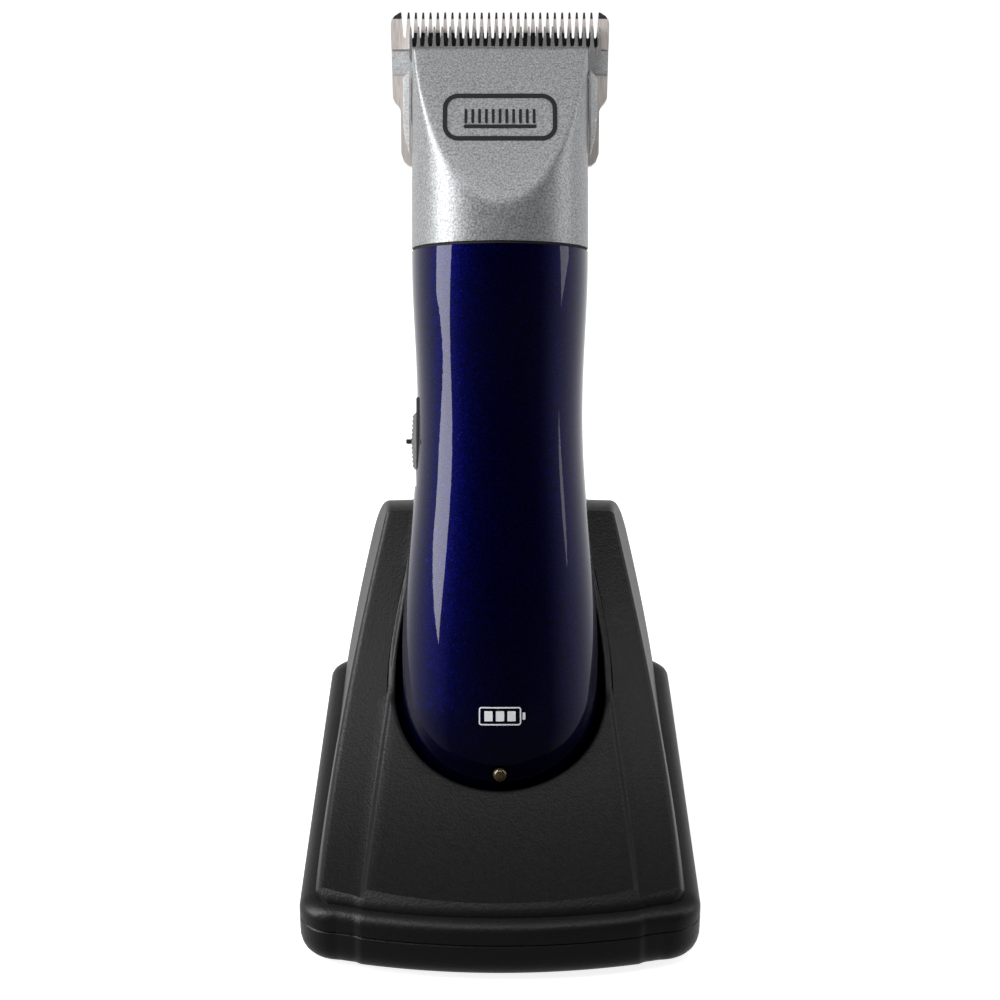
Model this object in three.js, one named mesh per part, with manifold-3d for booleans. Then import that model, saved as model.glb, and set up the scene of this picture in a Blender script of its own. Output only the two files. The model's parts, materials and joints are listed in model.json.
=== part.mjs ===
// A cordless animal clipper with a detachable blade set, leaning back in its charging stand.
// Millimetres, +Z up, +X to the right and +Y to the back as the clipper faces its user.
// The clipper is modelled upright in its own group, with its origin at the lower end of the handle, and
// the group leans back in the stand. The origin of the whole part is under the middle of its bounding box.
import * as THREE from "three";
import { mergeVertices } from "three/addons/utils/BufferGeometryUtils.js";
import Module from "manifold-3d";

const wasm = await Module();
wasm.setup();

// ---------------------------------------------------------------- driving dimensions
const LEAN = THREE.MathUtils.degToRad(23.5); // clipper's axis from upright
const GAP = 0.3; // clearance between pieces that touch
const RUNNING = 0.4; // clearance round a piece that moves

const HANDLE_LENGTH = 126.6; // lower end to the seam with the head
const HIP_HEIGHT = 33; // widest level of the handle
const WAIST_HEIGHT = 90; // narrowest level of the handle
const HIP = { width: 44, depth: 37 };
const WAIST = { width: 37, depth: 33 };
const SEAM = { width: 39.5, depth: 36 };
const END_RISE = 27; // height of the rounded lower end
const HANDLE_WALL = 2.2;
const SPLIT_SETBACK = 5; // plane between the front and rear shells, behind the axis
const BOSS = { radius: 3, rearRadius: 3.6, seat: 3 }; // seat: depth of plastic under a shell screw's head

const CELL = { bottom: 25, share: 0.38, setback: 2, holderWall: 1.6, endWall: 2 }; // share of the room across
const BOARD = { thickness: 1.2, width: 16, standoff: 3.1 };
const SWITCH = { length: 20, width: 7, depth: 3, slider: 14, sliderWidth: 4.6, proud: 1.3, travel: 2.4 };
const SWITCH_STEM = 2; // width of the stem between the slider and the switch behind it
const SLIDE_SWITCH = { width: 6, length: 12, depth: 3.5 };
const LED = { radius: 1.6, height: 11.2, hole: 2.05, sunk: 0.4, length: 3 };
const PAD = { radius: 1.8, spacing: 9, thickness: 3, recess: 0.6 };

const HEAD_LENGTH = 45; // seam to the top edge of the head cover
const HEAD_WALL = 1.8;
const HEAD_SPLIT = -1.5; // plane between the head cover and the head housing
const FACET_TOP = 3; // how far the sloping facet's top edge stands in front of the axis
const FACET_LENGTH = 36.7; // height of the facet
const GASKET = { height: 0.5, seat: 0.1, inset: 0.3 };
const CHEEK = { width: 43.4, height: 24.4, panel: 1.5, corner: 6, notch: 0.9, notchLevel: 11.6 };
const CHEEK_BELOW_HEEL = 2.9; // lower end of the cheeks below the comb's heel
const CHEEK_CUT = { width: 2.4, height: 3.2 }; // cut upper corners of the cheeks
const BACK_WALL = 2.5; // thickness of the wall that carries the drive

const COMB = { front: 8, thickness: 3, tipWidth: 49.8, heelWidth: 45, height: 35.2, shoulder: 15 };
const COMB_TEETH = { count: 26, outer: 2.4, depth: 5.9, tip: 0.45, gap: 0.5 }; // outer: width of an end tooth
const COMB_TIP = { thickness: 0.7, front: 0.4, taper: 14 }; // the teeth thin out towards their tips
const CHANNEL = { below: 8.65, height: 5.7, depth: 0.5 }; // hollow across the comb's front, below its tips
const BLADE_SEAT = 25.3; // comb's heel below the top edge of the head cover
const CUTTER = { thickness: 2.4, width: 43.4, waist: 37, aboveHeel: 9, lobe: 4.4, setback: 3.6 };
const CUTTER_TEETH = { count: 25, outer: 0.22, depth: 4.7, tip: 0.35, gap: 0.5 };
const BLADE_GAP = 0.2; // comb to cutter
const STROKE = 1.19; // cutter's travel each side of the middle; it is stored at the right-hand end
const BLADE_SCREW = { spacing: 11.8, aboveHeel: 5, shank: 1.3, bore: 1.5, head: 2.2, headHeight: 1 };
const SOCKET = { width: 16.4, depth: 2.85, mouth: 8.8, aboveHeel: 1.6, belowCutter: 0.8, wall: 1.1 };
const TONGUE = { width: 8, thickness: 1.2, end: 1.4 };
const TENSION_SPRING = { width: 18, thickness: 0.6, leg: 2.8, legRise: 10, foot: 1.5 };

const MOTOR = { length: 28, aroundRadius: 1, boreDepth: 6 }; // aroundRadius: room round the can
const MOTOR_MOUNT = 2.4; // thickness of the plate that carries the motor
const SHAFT = { radius: 1.2, disc: 4, discHeight: 2.4, crankPin: 1 };
const BEARING = { radius: 2.2, height: 4.2, bore: 1.15 };
const LEVER_ABOVE = 11; // lever's pivot to the cutter's slot
const LEVER_BELOW = 9.5; // lever's pivot to the cam bearing
const LEVER = { hub: 6, thickness: 2.6, tongue: 4, tongueHeight: 2.8, tine: 2, bridge: 1.8, aboveCam: 1.5 };
const DRIVE_ROOF = { thickness: 1, above: 1.3 }; // over the lever's fork
const PIVOT = { pin: 1.3, bore: 1.4 };
const DRIVE_WALL = 1.4; // wall of the housing round the cam and the lever's fork
const HINGE = { radius: 1.1, bore: 1.25, knuckle: 2.2, width: 18, ear: 3, setback: 0.5, belowHeel: 2.5 };
const LATCH = { width: 8.4, height: 5.4, travel: 1.2, proud: 0.8, depth: 2.6, flange: 1.2, level: 4.4 };
const LATCH_SPRING = { radius: 1.8, bore: 1.2, seat: 1.6 };

const SCREW = { head: 2.6, headHeight: 1.8, shank: 1.3, thread: 1.4, bore: 1.6, length: 8 };

const STAND = { width: 85, length: 123, frontArc: 135, corner: 8 };
const STAND_WALL = 2.4;
const TRAY_HEIGHT = 9; // top edge of the tray above the desk
const SHOULDER_HEIGHT = 14; // where the shoulder meets the sloping deck
const SHOULDER_INSET = 3.3;
const TOWER_HEIGHT = 70;
const TOWER_SETBACK = 86; // front edge of the stand to the top edge of the tower
const DECK_EDGE = 3.8; // side of the stand to the ridge along the deck's side, at the front
const TOWER_EDGE = 0.7; // wall of the pocket to the ridge, at the top of the tower
const BAND = { proud: 1.2, edge: 9.9, towerEdge: 7.6 }; // raised band: height, and the ridge to its edge
const DECK_CURVE = { straight: 0.307, power: 2.25, ridge: 2.4, crease: 1.8, rear: 2.2, spread: 8 };
const SEAT_SETBACK = 44.7; // front edge of the stand to the lower end of the handle
const POCKET_CLEARANCE = 1.5;
const UNDER_POCKET = 8.2; // desk to the underside of the pocket
const FOOT = { radius: 5, height: 2.2, proud: 0.8, inset: 13, front: 27, rear: 22 };
const TRAY_SCREW = { inset: 8, front: 17, rear: 12, boss: 3, sunk: 1.2 };
const JACK = { width: 12, depth: 11, height: 9, bore: 2.8, pin: 0.9, inset: 1, floor: 2 };
const PIN = { radius: 1, tail: 1.5, collar: 1.7, collarHeight: 0.8, travel: 1 }; // tail: below the collar
const PIN_SPRING = { length: 1.2, bore: 1.2 };
const CONTACT_BLOCK = { side: 5, depth: 12, setback: 1.5, above: 6 };
const BASE_BOARD = { width: 30, depth: 23, rear: 17, thickness: 1.4, above: 3 };
const BALLAST = { width: 44, depth: 16, rear: 42, thickness: 3.3 };

// ---------------------------------------------------------------- materials
const finish = (color, roughness, metalness) =>
  new THREE.MeshStandardMaterial({ color, roughness, metalness });
const look = {
  blue: finish(0x0a1450, 0.15, 0.5),
  silver: finish(0xb9bcbe, 0.4, 0.8),
  steel: finish(0xb8b2ab, 0.3, 1),
  bright: finish(0xd8d8d8, 0.15, 1),
  black: finish(0x101011, 0.5, 0),
  dark: finish(0x2a2a2c, 0.6, 0),
  rubber: finish(0x151515, 0.85, 0),
  board: finish(0x1d5a33, 0.6, 0),
  amber: finish(0xb98a50, 0.2, 0),
  gold: finish(0xc9a24a, 0.3, 1),
  cell: finish(0x3f8f4a, 0.5, 0),
};

// ---------------------------------------------------------------- shapes
const SIDES = 32; // facets round the handle
const FAR = 200; // reach of a cutting block beyond every piece
const OVER = 1; // how far a cutting shape runs past the face that it opens
const inFrontOf = (y) => box([-FAR, FAR], [-FAR, y], [-FAR, FAR]);
const behind = (y) => box([-FAR, FAR], [y, FAR], [-FAR, FAR]);
const span = (middle, size) => [middle - size / 2, middle + size / 2];
const middleOf = (range) => (range[0] + range[1]) / 2;

function box(x, y, z) {
  return new THREE.BoxGeometry(x[1] - x[0], y[1] - y[0], z[1] - z[0])
    .translate(middleOf(x), middleOf(y), middleOf(z));
}

function rodX(radius, x, y, z, sides = 20) {
  return new THREE.CylinderGeometry(radius, radius, x[1] - x[0], sides)
    .rotateZ(Math.PI / 2)
    .translate(middleOf(x), y, z);
}

function rodY(radius, x, y, z, sides = 20) {
  return new THREE.CylinderGeometry(radius, radius, y[1] - y[0], sides).translate(x, middleOf(y), z);
}

function rodZ(radius, x, y, z, sides = 20) {
  return new THREE.CylinderGeometry(radius, radius, z[1] - z[0], sides)
    .rotateX(Math.PI / 2)
    .translate(x, y, middleOf(z));
}

// A closed geometry as a solid that can be joined and cut. A solid comes back as it is.
function solid(shape) {
  if (!shape.isBufferGeometry) return shape;
  const loose = shape.index ? shape.toNonIndexed() : shape;
  const bare = new THREE.BufferGeometry().setAttribute("position", loose.getAttribute("position"));
  const merged = mergeVertices(bare, 1e-4);
  const vertProperties = new Float32Array(merged.getAttribute("position").array);
  const triVerts = new Uint32Array(merged.index.array);
  return new wasm.Manifold(new wasm.Mesh({ numProp: 3, vertProperties, triVerts }));
}

const join = (...shapes) => shapes.map(solid).reduce((a, b) => a.add(b));
const cut = (whole, ...tools) => tools.map(solid).reduce((a, b) => a.subtract(b), solid(whole));
const common = (a, b) => solid(a).intersect(solid(b));

// Adds a named piece to a group.
function piece(group, name, shape, material) {
  const made = solid(shape).getMesh();
  const geometry = new THREE.BufferGeometry()
    .setAttribute("position", new THREE.BufferAttribute(new Float32Array(made.vertProperties), 3))
    .setIndex(new THREE.BufferAttribute(new Uint32Array(made.triVerts), 1))
    .toNonIndexed();
  geometry.computeVertexNormals();
  const mesh = new THREE.Mesh(geometry, material);
  mesh.name = name;
  group.add(mesh);
  return mesh;
}

// A closed skin over a stack of rings that each have the same number of points.
function loft(rings) {
  const n = rings[0].length;
  const points = [];
  const face = (...corners) => corners.forEach((c) => points.push(c.x, c.y, c.z));
  const middle = (ring) => ring.reduce((sum, p) => sum.add(p), new THREE.Vector3()).divideScalar(n);
  for (let k = 0; k + 1 < rings.length; k++)
    for (let i = 0; i < n; i++) {
      const [a, b] = [rings[k][i], rings[k][(i + 1) % n]];
      const [d, c] = [rings[k + 1][i], rings[k + 1][(i + 1) % n]];
      face(a, b, c);
      face(a, c, d);
    }
  const [first, last] = [rings[0], rings[rings.length - 1]];
  for (let i = 0; i < n; i++) {
    face(middle(first), first[(i + 1) % n], first[i]);
    face(middle(last), last[i], last[(i + 1) % n]);
  }
  return new THREE.BufferGeometry().setAttribute("position", new THREE.Float32BufferAttribute(points, 3));
}

const ellipse = (halfWidth, halfDepth, z) =>
  Array.from({ length: SIDES }, (_, i) => {
    const a = (2 * Math.PI * i) / SIDES;
    return new THREE.Vector3(halfWidth * Math.cos(a), halfDepth * Math.sin(a), z);
  });

// An outline of [x, z] points, given its thickness along Y.
function plateXZ(outline, y) {
  const shape = new THREE.Shape(outline.map(([x, z]) => new THREE.Vector2(x, z)));
  return new THREE.ExtrudeGeometry(shape, { depth: y[1] - y[0], bevelEnabled: false })
    .rotateX(Math.PI / 2)
    .translate(0, y[1], 0);
}

// An outline of [y, z] points, given its width along X.
function plateYZ(outline, x) {
  const shape = new THREE.Shape(outline.map(([y, z]) => new THREE.Vector2(y, z)));
  const [alongY, alongZ, alongX] = [1, 2, 0].map((axis) => new THREE.Vector3().setComponent(axis, 1));
  return new THREE.ExtrudeGeometry(shape, { depth: x[1] - x[0], bevelEnabled: false })
    .applyMatrix4(new THREE.Matrix4().makeBasis(alongY, alongZ, alongX))
    .translate(x[0], 0, 0);
}

// A tube with its bore open at both ends, along Z or along Y.
const past = (range) => [range[0] - OVER, range[1] + OVER];
const tubeZ = (outer, inner, x, y, z) => cut(rodZ(outer, x, y, z), rodZ(inner, x, y, past(z)));
const tubeY = (outer, inner, x, y, z) => cut(rodY(outer, x, y, z), rodY(inner, x, past(y), z));
const bothSides = (make) => [-1, 1].map(make);
const mirrored = (outline) => [...outline, ...outline.map(([x, z]) => [-x, z]).reverse()];

// ---------------------------------------------------------------- the handle's shape
const ease = (t) => (1 - Math.cos(Math.PI * THREE.MathUtils.clamp(t, 0, 1))) / 2;
const mix = (a, b, t) => a + (b - a) * ease(t);

// Half the handle's width or depth at a height, without the rounding of its lower end.
function halfAt(z, axis) {
  const size =
    z > WAIST_HEIGHT
      ? mix(WAIST[axis], SEAM[axis], (z - WAIST_HEIGHT) / (HANDLE_LENGTH - WAIST_HEIGHT))
      : mix(HIP[axis], WAIST[axis], (z - HIP_HEIGHT) / (WAIST_HEIGHT - HIP_HEIGHT));
  return size / 2;
}

// The handle's form, drawn in by an inset (or out, if it is negative), up to a height.
function handleForm(inset, top, sizeAt = halfAt) {
  const rings = [];
  const rise = END_RISE - inset;
  const endSteps = 6;
  for (let i = 1; i < endSteps; i++) {
    const a = (Math.PI / 2) * (i / endSteps);
    const z = END_RISE - rise * Math.cos(a);
    const [halfWidth, halfDepth] = [sizeAt(z, "width") - inset, sizeAt(z, "depth") - inset];
    rings.push(ellipse(halfWidth * Math.sin(a), halfDepth * Math.sin(a), z));
  }
  const bodySteps = 9;
  for (let i = 0; i <= bodySteps; i++) {
    const z = END_RISE + ((top - END_RISE) * i) / bodySteps;
    rings.push(ellipse(sizeAt(z, "width") - inset, sizeAt(z, "depth") - inset, z));
  }
  return loft(rings);
}

// The depth of the handle's skin at a level, on the centre line.
function skinDepth(z) {
  const drop = Math.max(0, END_RISE - z) / END_RISE;
  return halfAt(z, "depth") * Math.sqrt(1 - drop * drop);
}

// Levels and places inside the handle that several pieces share, from the seam downwards.
const motorTop = HANDLE_LENGTH - MOTOR_MOUNT - 2 * GAP;
const motorBottom = motorTop - MOTOR.length;
const motorRadius = WAIST.depth / 2 - HANDLE_WALL - MOTOR.aroundRadius;
const switchLevel = motorBottom - 1.5 - SWITCH.length / 2;
const switchSeat = -halfAt(switchLevel, "width"); // the handle's left side at the switch
const slideSwitchFace = switchSeat + SWITCH.depth + 0.5;
const cellTop = switchLevel - SWITCH.length / 2 - CELL.endWall;
const cellRadius = CELL.share * (Math.min(WAIST.width, HIP.width) / 2 - HANDLE_WALL);
const boardFront = -Math.min(WAIST.depth, HIP.depth) / 2 + HANDLE_WALL + BOARD.standoff;
const lowerScrewLevel = END_RISE * 0.52;
const shellScrews = [
  { name: "shell_screw_upper", level: switchLevel },
  { name: "shell_screw_lower", level: lowerScrewLevel },
];

function buildHandle(clipper) {
  const shell = cut(handleForm(0, HANDLE_LENGTH), handleForm(HANDLE_WALL, HANDLE_LENGTH + OVER));
  const switchHole = box(
    [-FAR, switchSeat + SWITCH.depth + OVER],
    span(0, SWITCH.width),
    span(switchLevel, SWITCH.length),
  );
  const ledHole = rodY(LED.hole, 0, [-FAR, 0], LED.height);
  const padDepth = [-OVER, PAD.recess + PAD.thickness + HANDLE_WALL];
  const padHoles = padPlaces.map((x) => rodZ(PAD.radius + GAP, x, 0, padDepth, 16));

  const frontSkin = (level) => -skinDepth(level) + HANDLE_WALL / 2;
  const rearSkin = (level) => skinDepth(level) - HANDLE_WALL / 2;
  const forEachScrew = (make) => shellScrews.map(({ level }) => make(level));
  const frontBosses = forEachScrew((z) => rodY(BOSS.radius, 0, [frontSkin(z), SPLIT_SETBACK], z, 14));
  const rearBosses = forEachScrew((z) => rodY(BOSS.rearRadius, 0, [SPLIT_SETBACK, rearSkin(z)], z, 14));
  const threads = forEachScrew((z) =>
    rodY(SCREW.thread, 0, [SPLIT_SETBACK - SCREW.length, SPLIT_SETBACK + OVER], z, 12));
  const bores = forEachScrew((z) => rodY(SCREW.bore, 0, [0, FAR], z, 12));
  const sinks = forEachScrew((z) => rodY(SCREW.head + GAP, 0, [SPLIT_SETBACK + BOSS.seat, FAR], z, 16));

  const frontHoles = [behind(SPLIT_SETBACK - GAP / 2), switchHole, ledHole, ...threads, ...padHoles];
  piece(clipper, "handle_front_shell", cut(join(shell, ...frontBosses), ...frontHoles), look.blue);
  const rearHoles = [inFrontOf(SPLIT_SETBACK + GAP / 2), ...bores, ...sinks, ...padHoles];
  piece(clipper, "handle_rear_shell", cut(join(shell, ...rearBosses), ...rearHoles), look.blue);
  for (const { name, level } of shellScrews)
    piece(clipper, name, screw(0, SPLIT_SETBACK + BOSS.seat + GAP, level), look.dark);
}

// A pan-head screw that points to the front, with its head's underside at a setback.
function screw(x, underHead, z) {
  return join(
    rodY(SCREW.head, x, [underHead, underHead + SCREW.headHeight], z, 16),
    rodY(SCREW.shank, x, [underHead - SCREW.length + 1, underHead + 0.1], z, 12),
  );
}

const padPlaces = bothSides((side) => (side * PAD.spacing) / 2);

function buildHandleInside(clipper) {
  const lensFront = -skinDepth(LED.height) + LED.sunk;
  const lens = join(
    rodY(LED.radius, 0, [lensFront, lensFront + LED.length], LED.height, 16),
    new THREE.SphereGeometry(LED.radius, 16, 8).translate(0, lensFront, LED.height),
  );
  piece(clipper, "led_lens", lens, look.amber);

  const boardZ = [lowerScrewLevel + BOSS.radius + 1, cellTop - CELL.endWall];
  const board = box(span(0, BOARD.width), [boardFront, boardFront + BOARD.thickness], boardZ);
  piece(clipper, "handle_board", board, look.board);

  const cellAt = (side, radius, z) => rodZ(radius, side * (cellRadius + GAP), CELL.setback, z, 24);
  piece(clipper, "battery_cell_left", cellAt(-1, cellRadius, [CELL.bottom, cellTop]), look.cell);
  piece(clipper, "battery_cell_right", cellAt(1, cellRadius, [CELL.bottom, cellTop]), look.cell);
  const holderFront = CELL.setback - cellRadius - CELL.holderWall;
  const holder = box(
    span(0, 3.4 * cellRadius),
    [holderFront, CELL.setback - 2],
    [CELL.bottom - CELL.endWall, cellTop + CELL.endWall - 0.6],
  );
  const rooms = bothSides((side) => cellAt(side, cellRadius + GAP, [CELL.bottom - GAP, cellTop + GAP]));
  piece(clipper, "battery_holder", cut(holder, ...rooms), look.dark);

  ["charge_pad_left", "charge_pad_right"].forEach((name, i) => {
    const z = [PAD.recess, PAD.recess + PAD.thickness];
    piece(clipper, name, rodZ(PAD.radius, padPlaces[i], 0, z, 16), look.gold);
  });
}

function buildSwitch(clipper) {
  const room = SWITCH.slider - 1 + 2 * SWITCH.travel + 2 * RUNNING;
  const frameX = [switchSeat - 0.1, switchSeat + SWITCH.depth];
  const bezel = cut(
    box(frameX, span(0, SWITCH.width - GAP), span(switchLevel, SWITCH.length - GAP)),
    box(past(frameX), span(0, SWITCH.sliderWidth + RUNNING), span(switchLevel, room)),
  );
  piece(clipper, "switch_bezel", bezel, look.black);

  const half = (SWITCH.slider - 1) / 2;
  const [back, brow, crown] = [switchSeat + 1.6, switchSeat - SWITCH.proud * 0.7, switchSeat - SWITCH.proud];
  const profile = [
    [back, switchLevel + half], [back, switchLevel - half], [brow, switchLevel - half + 0.6],
    [crown, switchLevel], [brow, switchLevel + half - 0.6],
  ];
  const stub = box([crown - 1.1, switchSeat], span(0, SWITCH.sliderWidth - 0.6), span(switchLevel, 1));
  const stemEnd = slideSwitchFace + 0.1;
  const stem = box([back - 0.1, stemEnd], span(0, SWITCH_STEM), span(switchLevel, SWITCH_STEM));
  const thumb = plateXZ(profile, span(0, SWITCH.sliderWidth));
  piece(clipper, "switch_slider", join(thumb, stub, stem), look.bright);

  const bodyX = [slideSwitchFace, slideSwitchFace + SLIDE_SWITCH.depth];
  const slotLength = SWITCH_STEM + 2 * SWITCH.travel + 2 * RUNNING;
  const body = cut(
    box(bodyX, span(0, SLIDE_SWITCH.width), span(switchLevel, SLIDE_SWITCH.length)),
    box([-FAR, stemEnd + RUNNING], span(0, SWITCH_STEM + 2 * RUNNING), span(switchLevel, slotLength)),
  );
  piece(clipper, "slide_switch", body, look.dark);
}

// ---------------------------------------------------------------- the drive
const headBase = HANDLE_LENGTH + GASKET.height + 2 * GASKET.seat; // lower edge of the head
const headTop = HANDLE_LENGTH + HEAD_LENGTH + 0.7;
const combHeel = headTop - BLADE_SEAT;
const combTip = combHeel + COMB.height;
const cutterTip = combTip - CUTTER.setback;
const cutterHeel = combHeel + CUTTER.aboveHeel;
const socketBottom = combHeel + SOCKET.aboveHeel;
const cutterBack = COMB.front - BLADE_GAP;
const cutterFront = cutterBack - CUTTER.thickness;
const boxTop = socketBottom - RUNNING - DRIVE_ROOF.thickness; // roof of the room for the cam and the fork
const camTop = boxTop - DRIVE_ROOF.above - LEVER.bridge - LEVER.aboveCam;
const camLevel = camTop - BEARING.height / 2;
const pivotLevel = camLevel + LEVER_BELOW;
const slotLevel = pivotLevel + LEVER_ABOVE; // where the lever's tongue drives the cutter
const swing = Math.asin(STROKE / LEVER_ABOVE); // the lever's lean at the end of the stroke
const camThrow = LEVER_BELOW * Math.sin(swing);
const forkHalfGap = BEARING.radius + 2 * camThrow + RUNNING;

// The facet's slope, and the setback of its plane, drawn in by a wall, at a level.
const facetSlope = Math.atan2(SEAM.depth / 2 - FACET_TOP, FACET_LENGTH);
const facetSetback = (level, wall) =>
  -FACET_TOP - (headTop - level) * Math.tan(facetSlope) + wall / Math.cos(facetSlope);

const leverTop = slotLevel + LEVER.tongueHeight / 2;
const wallFront = HEAD_SPLIT + GAP / 2; // the wall that carries the drive
const leverBack = wallFront - RUNNING;
const leverFront = leverBack - LEVER.thickness;

function buildMotor(clipper) {
  const can = cut(
    rodZ(motorRadius, 0, 0, [motorBottom, motorTop], 32),
    rodZ(SHAFT.radius + RUNNING, 0, 0, [motorTop - MOTOR.boreDepth, motorTop + OVER], 16),
  );
  piece(clipper, "motor_can", can, look.bright);

  const inset = HANDLE_WALL + GAP;
  const [halfWidth, halfDepth] = ["width", "depth"].map((axis) => halfAt(motorTop, axis) - inset);
  const levels = [motorTop + GAP, motorTop + GAP + MOTOR_MOUNT];
  const plate = loft(levels.map((z) => ellipse(halfWidth, halfDepth, z)));
  const shaftHole = rodZ(SHAFT.radius + 1, 0, 0, [motorTop, headBase], 16);
  piece(clipper, "motor_mount", cut(plate, shaftHole), look.dark);

  const discTop = camLevel - BEARING.height / 2 - RUNNING;
  const shaft = join(
    rodZ(SHAFT.radius, 0, 0, [motorTop - MOTOR.boreDepth + 1, discTop - SHAFT.discHeight / 2], 16),
    rodZ(SHAFT.disc, 0, 0, [discTop - SHAFT.discHeight, discTop], 20),
    rodZ(SHAFT.crankPin, -camThrow, 0, [discTop - 0.5, camTop + 0.3], 12),
  );
  piece(clipper, "motor_shaft", shaft, look.steel);
  const bearing = tubeZ(BEARING.radius, BEARING.bore, -camThrow, 0, span(camLevel, BEARING.height));
  piece(clipper, "cam_bearing", bearing, look.bright);
}

// The lever is made about its pivot, then set at its level and swung over.
function buildLever(clipper) {
  const y = [leverFront, leverBack];
  const above = leverTop - pivotLevel;
  const bridgeBottom = camTop - pivotLevel + LEVER.aboveCam;
  const bridgeZ = [bridgeBottom, bridgeBottom + LEVER.bridge];
  const tineZ = [camLevel - BEARING.height / 2 + 1 - pivotLevel, bridgeZ[1]];
  const tines = bothSides((side) =>
    box(span(side * (forkHalfGap + LEVER.tine / 2), LEVER.tine), [-BEARING.radius, BEARING.radius], tineZ));
  const whole = join(
    rodY(LEVER.hub / 2, 0, y, 0, 20),
    box(span(0, LEVER.tongue), y, [bridgeZ[0], above]),
    box(span(0, LEVER.tongue), [leverFront, cutterBack - 0.6], [above - LEVER.tongueHeight, above]),
    box(span(0, 2 * (forkHalfGap + LEVER.tine)), [leverFront, BEARING.radius], bridgeZ),
    ...tines,
  );
  const bore = rodY(PIVOT.bore, 0, [-FAR, leverBack + OVER], 0, 14);
  const mesh = piece(clipper, "drive_lever", cut(whole, bore), look.dark);
  mesh.position.z = pivotLevel;
  mesh.rotation.y = swing;

  const pin = rodY(PIVOT.pin, 0, [leverFront - 0.6, HEAD_SPLIT + 1], pivotLevel, 14);
  piece(clipper, "lever_pivot_pin", pin, look.steel);
}

// ---------------------------------------------------------------- the head
const cheekBase = combHeel - CHEEK_BELOW_HEEL;
const cheekTop = cheekBase + CHEEK.height;
const wallBack = wallFront + BACK_WALL;
const boxBack = BEARING.radius + camThrow + RUNNING + DRIVE_WALL; // back of the drive's housing
const hingeLevel = combHeel - HINGE.belowHeel;
const hingeSetback = COMB.front + HINGE.setback;
const latchLevel = headBase + LATCH.level;
const springSeatBack = boxBack + 0.2 + LATCH_SPRING.seat;
const flangeFront = SEAM.depth / 2 - HEAD_WALL - LATCH.flange - LATCH.travel - 1.2;

// The outline of the head's cheeks: rounded lower corners and cut upper corners.
function cheekOutline(half, inset) {
  const right = [];
  const steps = 5;
  for (let i = 0; i <= steps; i++) {
    const a = (Math.PI / 2) * (i / steps);
    const rise = 2.2 * CHEEK.corner * (1 - Math.cos(a));
    right.push([half - CHEEK.corner * (1 - Math.sin(a)), cheekBase + inset + rise]);
  }
  right.push([half, cheekTop - CHEEK_CUT.height], [half - CHEEK_CUT.width, cheekTop - inset]);
  return mirrored(right);
}

// A prism of the head's section between two levels, drawn in by an inset.
const headPrism = (inset, z) =>
  loft(z.map((level) => ellipse(SEAM.width / 2 - inset, SEAM.depth / 2 - inset, level)));

// What is above the neck's roof: level as far back as the drive's housing, and then falling under the hinge.
function aboveRoof(drop) {
  const slope = 0.5;
  const room = (HINGE.knuckle + GAP) * Math.hypot(1, slope);
  const level = hingeLevel + slope * (hingeSetback - boxBack) - room - drop;
  const fall = slope * (FAR - boxBack);
  const outline = [[-FAR, FAR], [-FAR, level], [boxBack, level], [FAR, level - fall], [FAR, FAR]];
  return plateYZ(outline, [-FAR, FAR]);
}

function buildCover(clipper) {
  const z = [HANDLE_LENGTH + GASKET.seat, HANDLE_LENGTH + GASKET.seat + GASKET.height];
  const gasket = cut(headPrism(GASKET.inset, z), headPrism(HANDLE_WALL + 0.2, past(z)));
  piece(clipper, "head_gasket", gasket, look.rubber);

  const outsideFacet = (wall) =>
    new THREE.BoxGeometry(FAR, FAR, FAR)
      .translate(0, -FAR / 2, 0)
      .rotateX(-facetSlope)
      .translate(0, facetSetback(headTop, wall), headTop);
  const skin = cut(headPrism(0, [headBase, headTop]), outsideFacet(0));
  const hollow = cut(headPrism(HEAD_WALL, [headBase - OVER, headTop - HEAD_WALL]), outsideFacet(HEAD_WALL));
  const leverRoom = box(
    span(0, LEVER.tongue + 2 * (STROKE + RUNNING)),
    [leverFront - RUNNING, 0],
    [pivotLevel, leverTop + RUNNING],
  );
  piece(clipper, "head_cover", cut(skin, hollow, leverRoom, behind(HEAD_SPLIT - GAP / 2)), look.silver);
}

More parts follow.
